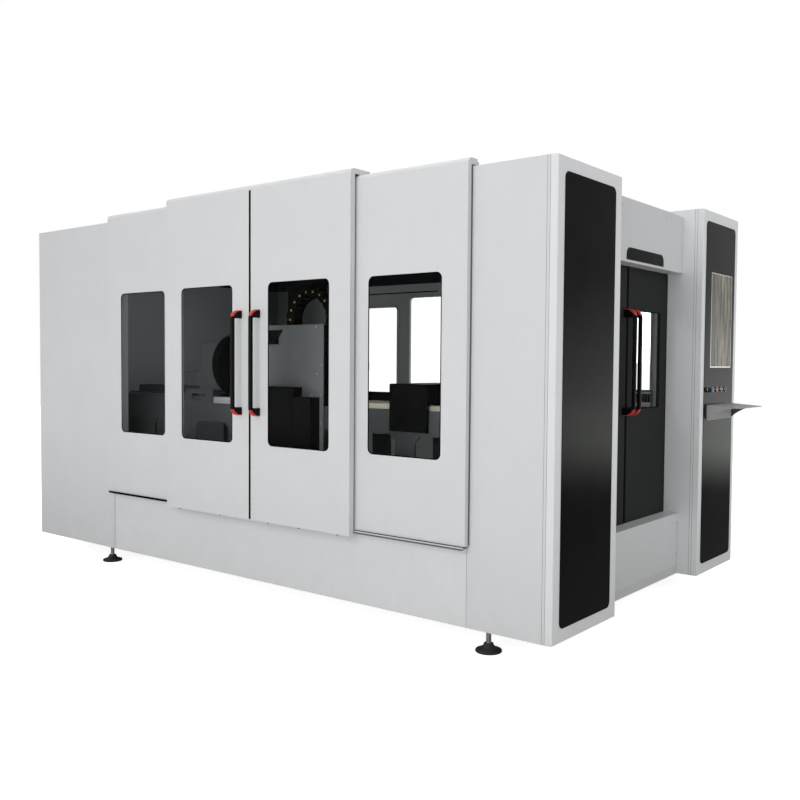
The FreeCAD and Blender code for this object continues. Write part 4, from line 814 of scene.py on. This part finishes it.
# %% Model one bow handle
REACH, BAR, WIDTH, BEND, LEG_EXTRA = 0.0682, 0.020, 0.0195, 0.048, 0.022
BEND_STEPS, TOUCH, SAME_RING = 12, 0.0002, 0.3
handle_low, handle_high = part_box("front_handle_2")
half_height = (handle_high.z - handle_low.z) / 2
leg = REACH - BEND
nothing()
bpy.ops.mesh.primitive_plane_add(size=1.0, location=(0, 0, BAR / 2 - half_height),
                                 rotation=(math.radians(90), 0, 0))
bow = bpy.context.object
bow.scale = (WIDTH, BAR, 1)
settle(bow)
everything(bow)
bpy.ops.mesh.bevel(offset=0.0052, segments=4, affect="VERTICES")
push((0, -leg, 0))
for middle in (BEND - half_height, half_height - BEND):
    bpy.ops.mesh.spin(steps=BEND_STEPS, angle=math.radians(90), center=(0, -leg, middle),
                      axis=(1, 0, 0))
    push((0, 0, 2 * (half_height - BEND)) if middle < 0 else (0, leg, 0))
only(bow)
bend_step = math.radians(90 / BEND_STEPS)
inner, middle_line = BEND - BAR, BEND - BAR / 2


def squared_radius(angle):
    """Distance from the bend's centre to the nearly square corner, at an angle of the bend."""
    across, along = math.sin(angle) / inner, math.cos(angle) / (inner - LEG_EXTRA)
    return (across ** 3 + along ** 3) ** (-1 / 3)


for side in (-1, 1):
    centre_z = side * (half_height - BEND)
    for ring in range(BEND_STEPS):
        angle = ring * bend_step
        outward = Vector((0, -math.sin(angle), side * math.cos(angle)))

        def inner_half(c, n):
            away = Vector((0, c.y + leg, c.z - centre_z))
            if ring == 0:
                return away.y > -TOUCH and 0 < side * away.z < middle_line
            turned = math.atan2(-away.y, side * away.z)
            return abs(turned - angle) < bend_step * SAME_RING and away.length < middle_line

        pick(bow, "VERT", inner_half)
        bpy.ops.transform.translate(value=outward * (squared_radius(angle) - inner))
close_up(bow, 40.0)
print("bow", tuple(round(v, 4) for v in bow.dimensions))

# %% Model the red cap of one bend
CAP_WIDTH, CAP_DEPTH, PROUD, CAP_START = WIDTH + 0.0012, 0.0095, 0.0008, 0.003
CAP_STEPS, CAP_TURN = 9, 62
outer = BEND + PROUD
underside = outer - CAP_DEPTH + 0.0004
cap_z = outer - CAP_DEPTH / 2 + half_height - BEND
nothing()
bpy.ops.mesh.primitive_plane_add(size=1.0, rotation=(math.radians(90), 0, 0),
                                 location=(0, -CAP_START, cap_z))
inlay = bpy.context.object
inlay.scale = (CAP_WIDTH, CAP_DEPTH, 1)
settle(inlay)
pick(inlay, "VERT", lambda c, n: c.z > cap_z)
bpy.ops.mesh.bevel(offset=0.0036, segments=4, affect="VERTICES")
bpy.ops.mesh.select_all(action="SELECT")
push((0, CAP_START - leg, 0))
bend_centre = (0, -leg, half_height - BEND)
for steps, angle, share in ((CAP_STEPS, CAP_TURN, 0.97), (2, 10, 0.80)):
    bpy.ops.mesh.spin(steps=steps, angle=-math.radians(angle), center=bend_centre, axis=(1, 0, 0))
    bpy.ops.transform.resize(value=(share, 1, 1), center_override=bend_centre)
only(inlay)
cap_step = math.radians(CAP_TURN / CAP_STEPS)
for ring, rise in enumerate((0.0055, 0.0042, 0.0026, 0.0010)):
    angle = ring * cap_step

    def cap_underside(c, n):
        away = Vector((0, c.y + leg, c.z - half_height + BEND))
        turned = 0.0 if away.y > -TOUCH else math.atan2(-away.y, away.z)
        depth = away.z if ring == 0 else away.length
        return abs(turned - angle) < cap_step * SAME_RING and depth < underside

    pick(inlay, "VERT", cap_underside)
    bpy.ops.transform.translate(value=(0, -rise * math.sin(angle), rise * math.cos(angle)))
close_up(inlay, 40.0)
print("cap", tuple(round(v, 4) for v in inlay.dimensions))

# %% Place the four handles
lower_inlay = copy_of(inlay, turn=Matrix.Rotation(math.radians(180), 4, "Y"))
inlays = joined([inlay, lower_inlay])
door_bodies = {"front_handle_2": ("sliding_door_2", 0), "front_handle_3": ("sliding_door_3", 0),
               "end_handle_near": ("end_leaf_near", 90), "end_handle_far": ("end_leaf_far", 90)}
for name, (body, turn) in door_bodies.items():
    low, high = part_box(name)
    middle = (low + high) / 2
    seat = (middle.x, high.y, middle.z) if turn == 0 else (low.x, middle.y, middle.z)
    spin_round = Matrix.Rotation(math.radians(turn), 4, "Z")
    bar = copy_of(bow, seat, spin_round)
    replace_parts(fit_out(bar, name + "_bow", handle_plastic, body), name)
    fit_out(copy_of(inlays, seat, spin_round), name + "_inlay", red_plastic, body)
    print(name, "seated at", tuple(round(v, 3) for v in seat))
for pattern in (bow, inlays):
    bpy.data.objects.remove(pattern)

# %% [markdown]
# A levelling foot is a dished rubber disc under a threaded stud with a lock nut against the
# beam. All of it is round or six-sided, so it is turned: one circle, extruded upwards and
# resized ring by ring. The thread is the same idea with many small rings.

# %% Feet
FOOT_INSET, CREST, ROOT, PITCH, NUT_TOP = 0.06, 0.0120, 0.0108, 0.0035, 0.105
pads_low, pads_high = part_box("foot_pads")
stud_top = corner("foot_studs", 1).z
pad_rings = [(0.0575, 0.0), (0.060, 0.0025), (0.060, 0.0085), (0.0575, 0.0115), (0.051, 0.0135),
             (0.050, 0.0125), (0.046, 0.0140), (0.045, 0.0130), (0.041, 0.0155), (0.030, 0.0235),
             (0.0245, 0.0300), (0.0220, 0.0345), (0.0218, 0.0385), (0.0200, 0.0400)]
foot = turned_piece((0, 0, 0), pad_rings, sides=48)
thread = [(CREST, 0.0284)]
while thread[-1][1] + PITCH < stud_top:
    level = thread[-1][1]
    thread += [(CREST, level + 0.0010), (ROOT, level + 0.0021), (ROOT, level + 0.0026),
               (CREST, level + PITCH)]
stud = turned_piece((0, 0, 0), thread, sides=20)
nut = turned_piece((0, 0, 0), [(0.0180, NUT_TOP - 0.018), (0.0207, NUT_TOP - 0.0165),
                               (0.0207, NUT_TOP - 0.0015), (0.0180, NUT_TOP)], sides=6)
places = [(x, y) for x in (pads_low.x + FOOT_INSET, pads_high.x - FOOT_INSET)
          for y in (pads_low.y + FOOT_INSET, pads_high.y - FOOT_INSET)]
all_feet = joined([copy_of(foot, (x, y, 0)) for x, y in places])
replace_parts(fit_out(all_feet, "levelling_discs", rubber, "machine"), "foot_pads")
all_studs = joined([copy_of(part, (x, y, 0)) for x, y in places for part in (stud, nut)])
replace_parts(fit_out(all_studs, "levelling_studs", zinc, "machine"), "foot_studs")
for pattern in (foot, stud, nut):
    bpy.data.objects.remove(pattern)
print("feet at", [tuple(round(v, 3) for v in p) for p in places])

# %% [markdown]
# The cable chain is a row of equal nylon links. One link is two side plates with rounded ends,
# joined by two bars, with a brass pin at its joint. It is modelled once, then copied round the
# arch and down both legs, so the joints fall at equal steps as on the real chain.

# %% Model one chain link
chain_low, chain_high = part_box("cable_chain")
RING_OUT, RING_IN, CHAIN_WIDTH, SHELF, PLATE = 0.199, 0.135, 0.067, 0.020, 0.007
ring_mid = (RING_OUT + RING_IN) / 2
arch = Vector((chain_low.x + RING_OUT + SHELF, 0, chain_high.z - RING_OUT))
chain_y = (chain_high.y - CHAIN_WIDTH, chain_high.y)
LINKS = 9
link_step = math.pi * ring_mid / LINKS
tall = RING_OUT - RING_IN


def side_plate(y0, y1, length, height):
    """Upright plate with rounded ends, lying along X, centred on X = Z = 0."""
    plate = box_piece((-length / 2, y0, -height / 2), (length / 2, y1, height / 2))
    pick(plate, "EDGE", lambda c, d: abs(d.y) > 0.9)
    bpy.ops.mesh.bevel(offset=0.45 * min(length, height), segments=6, affect="EDGES")
    pick(plate, "FACE", lambda c, n: n.y < -0.9)
    bpy.ops.mesh.inset(thickness=0.005, depth=-0.0012)
    close_up(plate, 30.0)
    return plate


half_width = CHAIN_WIDTH / 2
parts = [side_plate(y, y + PLATE, link_step * 1.18, tall * 0.96)
         for y in (-half_width, half_width - PLATE)]
for side in (-1, 1):
    z = side * (tall / 2 - 0.006)
    parts.append(box_piece((-link_step * 0.30, 0.006 - half_width, z - 0.005),
                           (link_step * 0.30, half_width - 0.006, z + 0.005), 0.0015))
link = joined(parts)
close_up(link, 30.0)
pin = turned_piece((0, 0, 0), [(0.0075, -0.002), (0.0075, 0.0012), (0.0062, 0.0024),
                               (0.0040, 0.0024), (0.0034, 0.0010)], sides=20)
pin.rotation_euler = (math.radians(90), 0, 0)
settle(pin)
print("link", len(link.data.polygons), "faces, step", round(link_step, 4))

# %% Run the chain over its arch
def on_arch(angle, y):
    """Place on the chain's middle line, at an angle from the arch's foot."""
    return Vector((arch.x + ring_mid * math.cos(angle), y, arch.z + ring_mid * math.sin(angle)))


links, pins = [], []
mid_y = (chain_y[0] + chain_y[1]) / 2
for k in range(LINKS):
    angle = math.pi * (k + 0.5) / LINKS
    lean = Matrix.Rotation(math.pi / 2 - angle, 4, "Y")
    links.append(copy_of(link, on_arch(angle, mid_y), lean))
for k in range(LINKS + 1):
    pins.append(copy_of(pin, on_arch(math.pi * k / LINKS, chain_y[0])))
leg_end = chain_low.z + SHELF
count = int((arch.z - leg_end) // link_step)
for leg_x in (arch.x - ring_mid, arch.x + ring_mid):
    for k in range(count):
        here = (leg_x, mid_y, arch.z - (k + 0.5) * link_step)
        links.append(copy_of(link, here, Matrix.Rotation(math.pi / 2, 4, "Y")))
        pins.append(copy_of(pin, (leg_x, chain_y[0], arch.z - (k + 1) * link_step)))
chain_links = fit_out(joined(links), "cable_chain_links", nylon, "machine")
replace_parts(chain_links, "cable_chain")
fit_out(joined(pins), "cable_chain_pins", brass, "machine")
shelf_z, edge = chain_low.z, 0.002
arm_x = corner("front_headstock", 0).x + SHELF
shelf = [box_piece((chain_low.x, chain_y[0], shelf_z),
                   (chain_high.x, chain_y[1], shelf_z + SHELF), edge),
         box_piece((arm_x, chain_low.y, shelf_z),
                   (chain_high.x, chain_y[0] + 0.002, shelf_z + SHELF), edge),
         box_piece((arm_x, chain_low.y, shelf_z),
                   (chain_high.x, chain_low.y + 0.010, shelf_z + 0.080), edge)]
for leg_x in (arch.x - ring_mid, arch.x + ring_mid):
    shelf.append(box_piece((leg_x - 0.030, chain_y[0] + 0.004, leg_end),
                           (leg_x + 0.030, chain_y[1] - 0.004, leg_end + 0.030), 0.004))
fit_out(joined(shelf), "cable_chain_shelf", black_cover, "machine")
for pattern in (link, pin):
    bpy.data.objects.remove(pattern)
print(len(links), "links,", len(pins), "pins")

# %% [markdown]
# Sheet doors meet on rubber, never metal on metal. Each middle door and each end leaf carries a
# black strip down its meeting edge, the outer doors have a grey wiper down their outer side, the
# sill's lip has thin black strips under them, and each pane sits in a rubber gasket. Under the
# right door a grey strip below the lip is painted shadow. These lines are thin, but they are what
# draws the doors from a distance.

# %% Meeting strips and wipers of the sliding doors
def strip(name, low, high, finish, body="machine", bevel=0.0):
    """Straight strip of rubber or sheet between two corners."""
    return fit_out(box_piece(low, high, bevel), name, finish, body)


PROUD_STRIP, STRIP_WIDTH, DOOR_BEND = 0.0008, 0.0062, 0.030
for name, body, side in (("front_door_2", "sliding_door_2", 1),
                         ("front_door_3", "sliding_door_3", -1)):
    low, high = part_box(name)
    edge = high.x if side > 0 else low.x
    x0, x1 = sorted((edge + side * 0.0006, edge - side * STRIP_WIDTH))
    strip(name + "_meeting_strip", (x0, low.y - PROUD_STRIP, low.z + 0.004),
          (x1, low.y + 0.022, high.z - DOOR_BEND), seal_rubber, body, bevel=0.0005)
for name, side in (("front_door_1", -1), ("front_door_4", 1)):
    low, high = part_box(name)
    edge = high.x if side > 0 else low.x
    x0, x1 = sorted((edge + side * 0.0016, edge - side * 0.001))
    strip(name + "_side_wiper", (x0, low.y + 0.0245, low.z + 0.014),
          (x1, low.y + 0.0335, high.z - DOOR_BEND), sealant, "sliding_door_" + name[-1])
channel_low, channel_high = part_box("sill_channel")
left_door, right_door = corner("front_door_1", 1).x - 0.06, corner("front_door_4", 0).x + 0.06
lip = channel_low.y
# painted shadow: the grey strip below the lip under the right door stands for the shadow there
for name, x0, x1, z0, z1, finish in (
        ("sill_wiper_left", channel_low.x, left_door, 0.0005, 0.0135, seal_rubber),
        ("sill_wiper_right", right_door, channel_high.x, 0.0105, 0.0145, seal_rubber),
        ("sill_seal_right", right_door, channel_high.x, -0.0035, 0.0040, sealant)):
    strip(name, (x0, lip - 0.00015, channel_low.z + z0), (x1, lip + 0.0006, channel_low.z + z1),
          finish)
near_leaf, far_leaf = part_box("end_door_near"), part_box("end_door_far")
for name, edge, body, side in (("end_leaf_near_strip", near_leaf[1].y, "end_leaf_near", 1),
                               ("end_leaf_far_strip", far_leaf[0].y, "end_leaf_far", -1)):
    y0, y1 = sorted((edge + side * 0.0006, edge - side * 0.010))
    strip(name, (near_leaf[1].x - 0.020, y0, near_leaf[0].z + 0.004),
          (near_leaf[1].x + 0.0010, y1, near_leaf[1].z - 0.030), seal_rubber, body, bevel=0.0005)
print("sill strips from x", round(channel_low.x, 4), "to", round(channel_high.x, 4))

# %% Model the window gaskets
def gasket(width, height, radius, rim, depth):
    """Rounded ring facing -Y: a plane with rounded corners, inset, opened and pushed out."""
    nothing()
    bpy.ops.mesh.primitive_plane_add(size=1.0, rotation=(math.radians(90), 0, 0))
    ring = bpy.context.object
    ring.scale = (width, height, 1)
    settle(ring)
    everything(ring)
    bpy.ops.mesh.bevel(offset=radius, segments=8, affect="VERTICES")
    bpy.ops.mesh.inset(thickness=rim)
    bpy.ops.mesh.delete(type="FACE")
    bpy.ops.mesh.select_all(action="SELECT")
    push((0, -depth, 0))
    pick(ring, "EDGE", lambda c, d: c.y < 0.0001 - depth and abs(d.y) < 0.1)
    bpy.ops.mesh.bevel(offset=0.0006, segments=1, affect="EDGES")
    close_up(ring, 40.0)
    return ring


def fit_gasket(name, size, radius, rim, depth, centre, turn, finish, body):
    """Gasket or window frame of a size (across, high) round a centre, riding on a body."""
    ring = gasket(*size, radius, rim, depth)
    fit_out(copy_of(ring, centre, turn), name, finish, body)
    bpy.data.objects.remove(ring)
    print(name, "at", [round(c, 3) for c in centre])


LAP, RIM_WIDTH, PROUD_RIM = 0.020, 0.0055, 0.0006
for k in "1234":
    low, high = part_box("front_window_" + k)
    middle = (low + high) / 2
    depth = low.y - (corner("front_door_" + k, 0).y - PROUD_RIM)
    fit_gasket("front_gasket_" + k, (high.x - low.x - 2 * LAP, high.z - low.z - 2 * LAP), 0.030,
               RIM_WIDTH, depth, (middle.x, low.y, middle.z), None,
               seal_rubber, "sliding_door_" + k)
for side in ("near", "far"):
    low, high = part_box("end_window_" + side)
    middle = (low + high) / 2
    depth = corner("end_door_" + side, 1).x + PROUD_RIM - high.x
    fit_gasket("end_gasket_" + side, (high.y - low.y - 2 * LAP, high.z - low.z - 2 * LAP), 0.008,
               RIM_WIDTH, depth, (high.x, middle.y, middle.z),
               Matrix.Rotation(math.radians(90), 4, "Z"),
               seal_rubber, "end_leaf_" + side)

# %% [markdown]
# The shell's sheets butt against each other on hidden flanges. At each joint a hairline of
# sealant shows, darker than the paint. Modelling a line costs one thin box and tells the eye
# that the body is made of panels and not cast in one piece.

# %% Panel joints
HAIR, PROUD_HAIR, TRIM = 0.0006, 0.0004, 0.0140
front_y = corner("left_cabinet", 0).y
sill_low, sill_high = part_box("front_sill")
shell_low, shell_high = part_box("front_column")
far_low, far_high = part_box("control_column")
cover_x = corner("column_covers", 0).x
for name, x, y, z0, z1 in (
        ("joint_left_outer", sill_low.x - 0.0065, front_y, sill_low.z, sill_high.z),
        ("joint_left_inner", sill_low.x + 0.0045, front_y, sill_low.z, sill_high.z),
        ("joint_right", sill_high.x, front_y, sill_low.z, sill_high.z),
        ("joint_trim_outer", cover_x, front_y, shell_low.z, shell_high.z),
        ("joint_trim_inner", cover_x - TRIM, front_y, shell_low.z, shell_high.z),
        ("joint_far_outer", cover_x, far_low.y, far_low.z, far_high.z),
        ("joint_far_inner", cover_x - TRIM, far_low.y, far_low.z, far_high.z)):
    strip(name, (x - HAIR, y - PROUD_HAIR, z0), (x + HAIR, y + PROUD_HAIR, z1), sealant)
print("joints at x", round(sill_low.x, 4), round(sill_high.x, 4), round(cover_x, 4))

# %% [markdown]
# Screws: one button head with a socket is turned and then copied to every place where the
# photographed machine shows one, on the header, the end sill and the headstock's cover, and to
# the chuck's flange inside. The bolts of the bed's rails are hidden under flush caps, because
# the carriages run over them.

# %% Model one screw and set out the rows
def screw_head(radius):
    """Button head with a socket, standing on Z = 0."""
    rings = [(radius, 0.0), (radius, 0.16 * radius), (0.93 * radius, 0.34 * radius),
             (0.76 * radius, 0.50 * radius), (0.54 * radius, 0.58 * radius),
             (0.46 * radius, 0.58 * radius), (0.44 * radius, 0.28 * radius)]
    return turned_piece((0, 0, 0), rings, sides=18)


FACING = {"-Y": Matrix.Rotation(math.radians(90), 4, "X"),
          "+X": Matrix.Rotation(math.radians(90), 4, "Y")}


def screws(name, radius, facing, places, finish=zinc, body="machine"):
    """Row of equal screws as one piece."""
    pattern = screw_head(radius)
    row = joined([copy_of(pattern, place, FACING[facing]) for place in places])
    bpy.data.objects.remove(pattern)
    return fit_out(row, name, finish, body)


header_x, end_sill_x = corner("header_panel", 1).x, corner("end_sill", 1).x
screws("header_screws", 0.0055, "+X", [(header_x, -0.1775, 2.069), (header_x, 0.3675, 2.069)])
screws("end_sill_screws", 0.0055, "+X",
       [(end_sill_x, y, z) for y in (-0.4155, 0.6055) for z in (0.396, 0.219)])
head_low, head_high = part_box("headstock_cover")
screws("headstock_cover_screws", 0.0050, "-Y", [(x, head_low.y, z) for x, z in (
    (0.2393, 1.4800), (0.2767, 1.2700), (0.2477, 1.2205), (0.2074, 1.1012), (0.2766, 1.1028),
    (0.2766, 0.9500), (-0.1500, 1.4800))])
AXIS_Y, AXIS_Z, BOLT_RADIUS = -0.5505, 1.265, 0.136
flange_x = corner("front_chuck", 1).x
around = [math.radians(a) for a in (30, 60, 120, 150, 210, 240, 300, 330)]
screws("front_chuck_bolts", 0.0070, "+X",
       [(flange_x, AXIS_Y + BOLT_RADIUS * math.cos(a), AXIS_Z + BOLT_RADIUS * math.sin(a))
        for a in around], turned_steel, "front_spindle")

# %% Caps on the rail bolts
RAIL_HALF, FIRST_BOLT, BOLT_STEP = 0.145, 0.04, 0.09
rails_low, rails_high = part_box("bed_rails")
bolt_xs = [rails_low.x + FIRST_BOLT + BOLT_STEP * k for k in range(19)]
bolt_xs += [rails_high.x - FIRST_BOLT - BOLT_STEP * k for k in range(13)]
rail_rows = [(x, y) for y in (AXIS_Y - RAIL_HALF, AXIS_Y + RAIL_HALF) for x in bolt_xs
             if not head_low.x - 0.04 < x < head_high.x + 0.05]
cap = turned_piece((0, 0, 0), [(0.0060, -0.0010), (0.0060, 0.0), (0.0056, 0.0002)], sides=18)
caps = joined([copy_of(cap, (x, y, rails_high.z)) for x, y in rail_rows])
bpy.data.objects.remove(cap)
fit_out(caps, "bed_rail_caps", black_steel, "machine")
print(len(rail_rows), "rail caps")

# %% [markdown]
# A short white plate is screwed to the front edge of the bed beside the travelling headstock.
# It stays on the bed: the saddle runs past behind it with a little air.

# %% Plate on the bed's front edge
unit_high = corner("rear_headstock", 1)
plate_low = Vector((unit_high.x - 0.0030, -0.7275, 1.0300))
plate_high = Vector((-0.4500, -0.7207, 1.0690))
plate = box_piece(plate_low, plate_high, 0.0012)
pick(plate, "EDGE", lambda c, d: abs(d.y) > 0.9 and c.x > plate_high.x - 0.002)
bpy.ops.mesh.bevel(offset=0.005, segments=3, affect="EDGES")
close_up(plate)
fit_out(plate, "bed_edge_plate", white_doors, "machine")
screws("bed_edge_plate_screws", 0.0045, "-Y",
       [(x, plate_low.y, 1.0495) for x in (-0.585, -0.535, -0.485)])
print("edge plate", tuple(round(v, 3) for v in plate_low))

# %% [markdown]
# Behind the cable chain stands a black sheet with an arched opening, which keeps the links in
# their plane. The opening is the chain's own inner arch, so it is cut with a round bar and a
# block, as a boolean modifier that is then applied.

# %% Guide sheet of the cable chain
GUIDE_TOP, OPENING = 1.885, RING_IN - 0.006
sheet_y = chain_high.y + 0.0015
guide = box_piece((chain_low.x - 0.036, sheet_y, chain_low.z),
                  (chain_high.x + 0.018, sheet_y + 0.003, GUIDE_TOP))
nothing()
bpy.ops.mesh.primitive_cylinder_add(vertices=64, radius=OPENING, depth=0.2,
                                    location=(arch.x, sheet_y, arch.z),
                                    rotation=(math.radians(90), 0, 0))
bar = bpy.context.object
settle(bar)
block = box_piece((arch.x - OPENING, sheet_y - 0.1, chain_low.z + SHELF + 0.012),
                  (arch.x + OPENING, sheet_y + 0.1, arch.z))
for cutter in (bar, block):
    only(guide)
    cut = guide.modifiers.new("opening", "BOOLEAN")
    cut.operation, cut.object, cut.solver = "DIFFERENCE", cutter, "EXACT"
    bpy.ops.object.modifier_apply(modifier=cut.name)
    bpy.data.objects.remove(cutter)
pick(guide, "EDGE", lambda c, d: abs(d.y) > 0.9 and (
    c.z > GUIDE_TOP - 0.005 or c.z < chain_low.z + 0.001))
bpy.ops.mesh.bevel(offset=0.010, segments=4, affect="EDGES")
close_up(guide)
fit_out(guide, "chain_guide_sheet", black_cover, "machine")
print("guide sheet", len(guide.data.polygons), "faces")

# %% [markdown]
# Each rear window has a thin light frame round its opening, on the inside, and a seam runs along
# the rear wall just above them where the upper sheet laps the lower one. The narrow window's
# lower part is closed by a panel with a row of upright fins between two pale lips.

# %% Rear window frames
REAR_RIM = 0.006
glass_low = corner("rear_glass", 0)
x_open, x_close = corner("left_cabinet", 1).x, corner("front_column", 0).x
foot_z = glass_low.z + LAP
for k, left, across, head in (("1", x_open + 0.067, 0.430, 1.714),
                              ("2", x_open + 0.626, 0.430, 1.781),
                              ("3", x_close - 0.300, 0.200, 1.781)):
    fit_gasket("rear_frame_" + k, (across + 2 * REAR_RIM, head - foot_z + 2 * REAR_RIM), 0.032,
               0.0065, 0.011, (left + across / 2, glass_low.y, (foot_z + head) / 2), None,
               rear_frame_white, "machine")

# %% Finned panel at the narrow window
FIN_STEP, FIN_WIDTH = 0.0190, 0.006
louvre_left, louvre_right, louvre_y = x_close - 0.3155, x_close - 0.0845, glass_low.y - 0.0125
strip("louvre_panel", (louvre_left, louvre_y - 0.004, 0.8350), (louvre_right, louvre_y, 1.1230),
      bed_grey, bevel=0.0012)
for name, z0, z1 in (("louvre_lip_low", 1.0150, 1.0440), ("louvre_lip_high", 1.0970, 1.1090)):
    strip(name, (louvre_left + 0.002, louvre_y - 0.016, z0),
          (louvre_right - 0.002, louvre_y - 0.0035, z1), rear_frame_white,
          bevel=0.002)
fins = []
for k in range(12):
    x = louvre_left + 0.004 + FIN_STEP * k
    fins.append(box_piece((x, louvre_y - 0.014, 1.0445), (x + FIN_WIDTH, louvre_y - 0.0035, 1.0965),
                          0.0006))
fit_out(joined(fins), "louvre_fins", black_cover, "machine")
print(len(fins), "fins, panel to x", round(louvre_right, 4))

# %% Seam above the rear windows
SEAM_Z, SEAM_HALF = 1.8245, 0.0045
rear_y = corner("rear_wall", 1).y
strip("rear_wall_seam", (x_open + 0.15, rear_y - 0.0035, SEAM_Z - SEAM_HALF),
      (-0.325, rear_y - 0.0019, SEAM_Z + SEAM_HALF), seal_rubber)
print("seam at z", SEAM_Z)

# %% [markdown]
# Short rubber studs show under the bottom edge of the middle doors and keep them off the apron.
# Each is turned from four rings, and a door's studs are one piece that rides on the door.

# %% Guide studs under the middle doors
stud_y = corner("front_door_2", 0).y + 0.006
for name, body, xs in (("front_door_2_studs", "sliding_door_2", (-0.4694, -0.1206)),
                       ("front_door_3_studs", "sliding_door_3", (0.2584, 0.4824, 0.7479))):
    z = corner(name.removesuffix("_studs"), 0).z
    rings = [(0.0035, -0.0055), (0.0045, -0.0045), (0.0045, 0.0), (0.0030, 0.0)]
    studs = [turned_piece((x, stud_y, z), rings, sides=16) for x in xs]
    fit_out(joined(studs), name, rubber, body)
print("studs at z", round(z, 4))

# %% [markdown]
# The operator's row gets what a hand and an eye look for: a white pointer on the selector, and a
# thin black sleeve round each cap, so that the caps look separate from their bezels and press
# in. The pointer rides on the selector, the sleeves stay on the panel.

# %% Operator's row
knob_low, knob_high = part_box("selector_knob")
knob_mid = (knob_low + knob_high) / 2
strip("selector_pointer", (knob_high.x - 0.0006, knob_mid.y - 0.0008, knob_mid.z + 0.0035),
      (knob_high.x + 0.0004, knob_mid.y + 0.0008, knob_high.z - 0.0015), white_doors, "selector")
sleeve = turned_piece((0, 0, 0), [(0.0126, 0.0), (0.0126, 0.0010), (0.0122, 0.0014),
                                  (0.0113, 0.0014), (0.0111, 0.0002)], sides=32)
bezel_x = corner("button_bezels", 1).x
sleeves = []
for colour in ("blue", "red", "green", "black"):
    low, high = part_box(colour + "_button")
    middle = (low + high) / 2
    sleeves.append(copy_of(sleeve, (bezel_x - 0.0002, middle.y, middle.z), FACING["+X"]))
bpy.data.objects.remove(sleeve)
print(len(sleeves), "sleeves at x", round(bezel_x, 4))
fit_out(joined(sleeves), "button_sleeves", rubber, "machine")

# %% [markdown]
# The cutting head ends in a copper nozzle under a white ceramic ring, with a collar that clamps
# them. It hangs behind the doors and hardly shows, so it stays plain: three turned sleeves over
# the head's own cone.

# %% Nozzle, ceramic ring and collar
tip_z = corner("cutting_head", 0).z
nozzle_x = corner("cutting_head", 1).x - 0.024
for name, finish, slot, rings in (
        ("nozzle_tip", copper, "bright_steel",
         [(0.0053, 0.0002), (0.0060, 0.0002), (0.0094, 0.0090), (0.0094, 0.0150)]),
        ("ceramic_ring", ceramic, "white_paint",
         [(0.0125, 0.0150), (0.0140, 0.0165), (0.0145, 0.0270), (0.0130, 0.0290)]),
        ("nozzle_collar", bright_metal, "bright_steel",
         [(0.0165, 0.0290), (0.0185, 0.0305), (0.0185, 0.0430), (0.0170, 0.0445)])):
    sleeve = turned_piece((nozzle_x, AXIS_Y, 0), [(r, tip_z + z) for r, z in rings], sides=28)
    fit_out(sleeve, name, finish, "laser_head")
print("nozzle at", round(nozzle_x, 4), round(tip_z, 4))
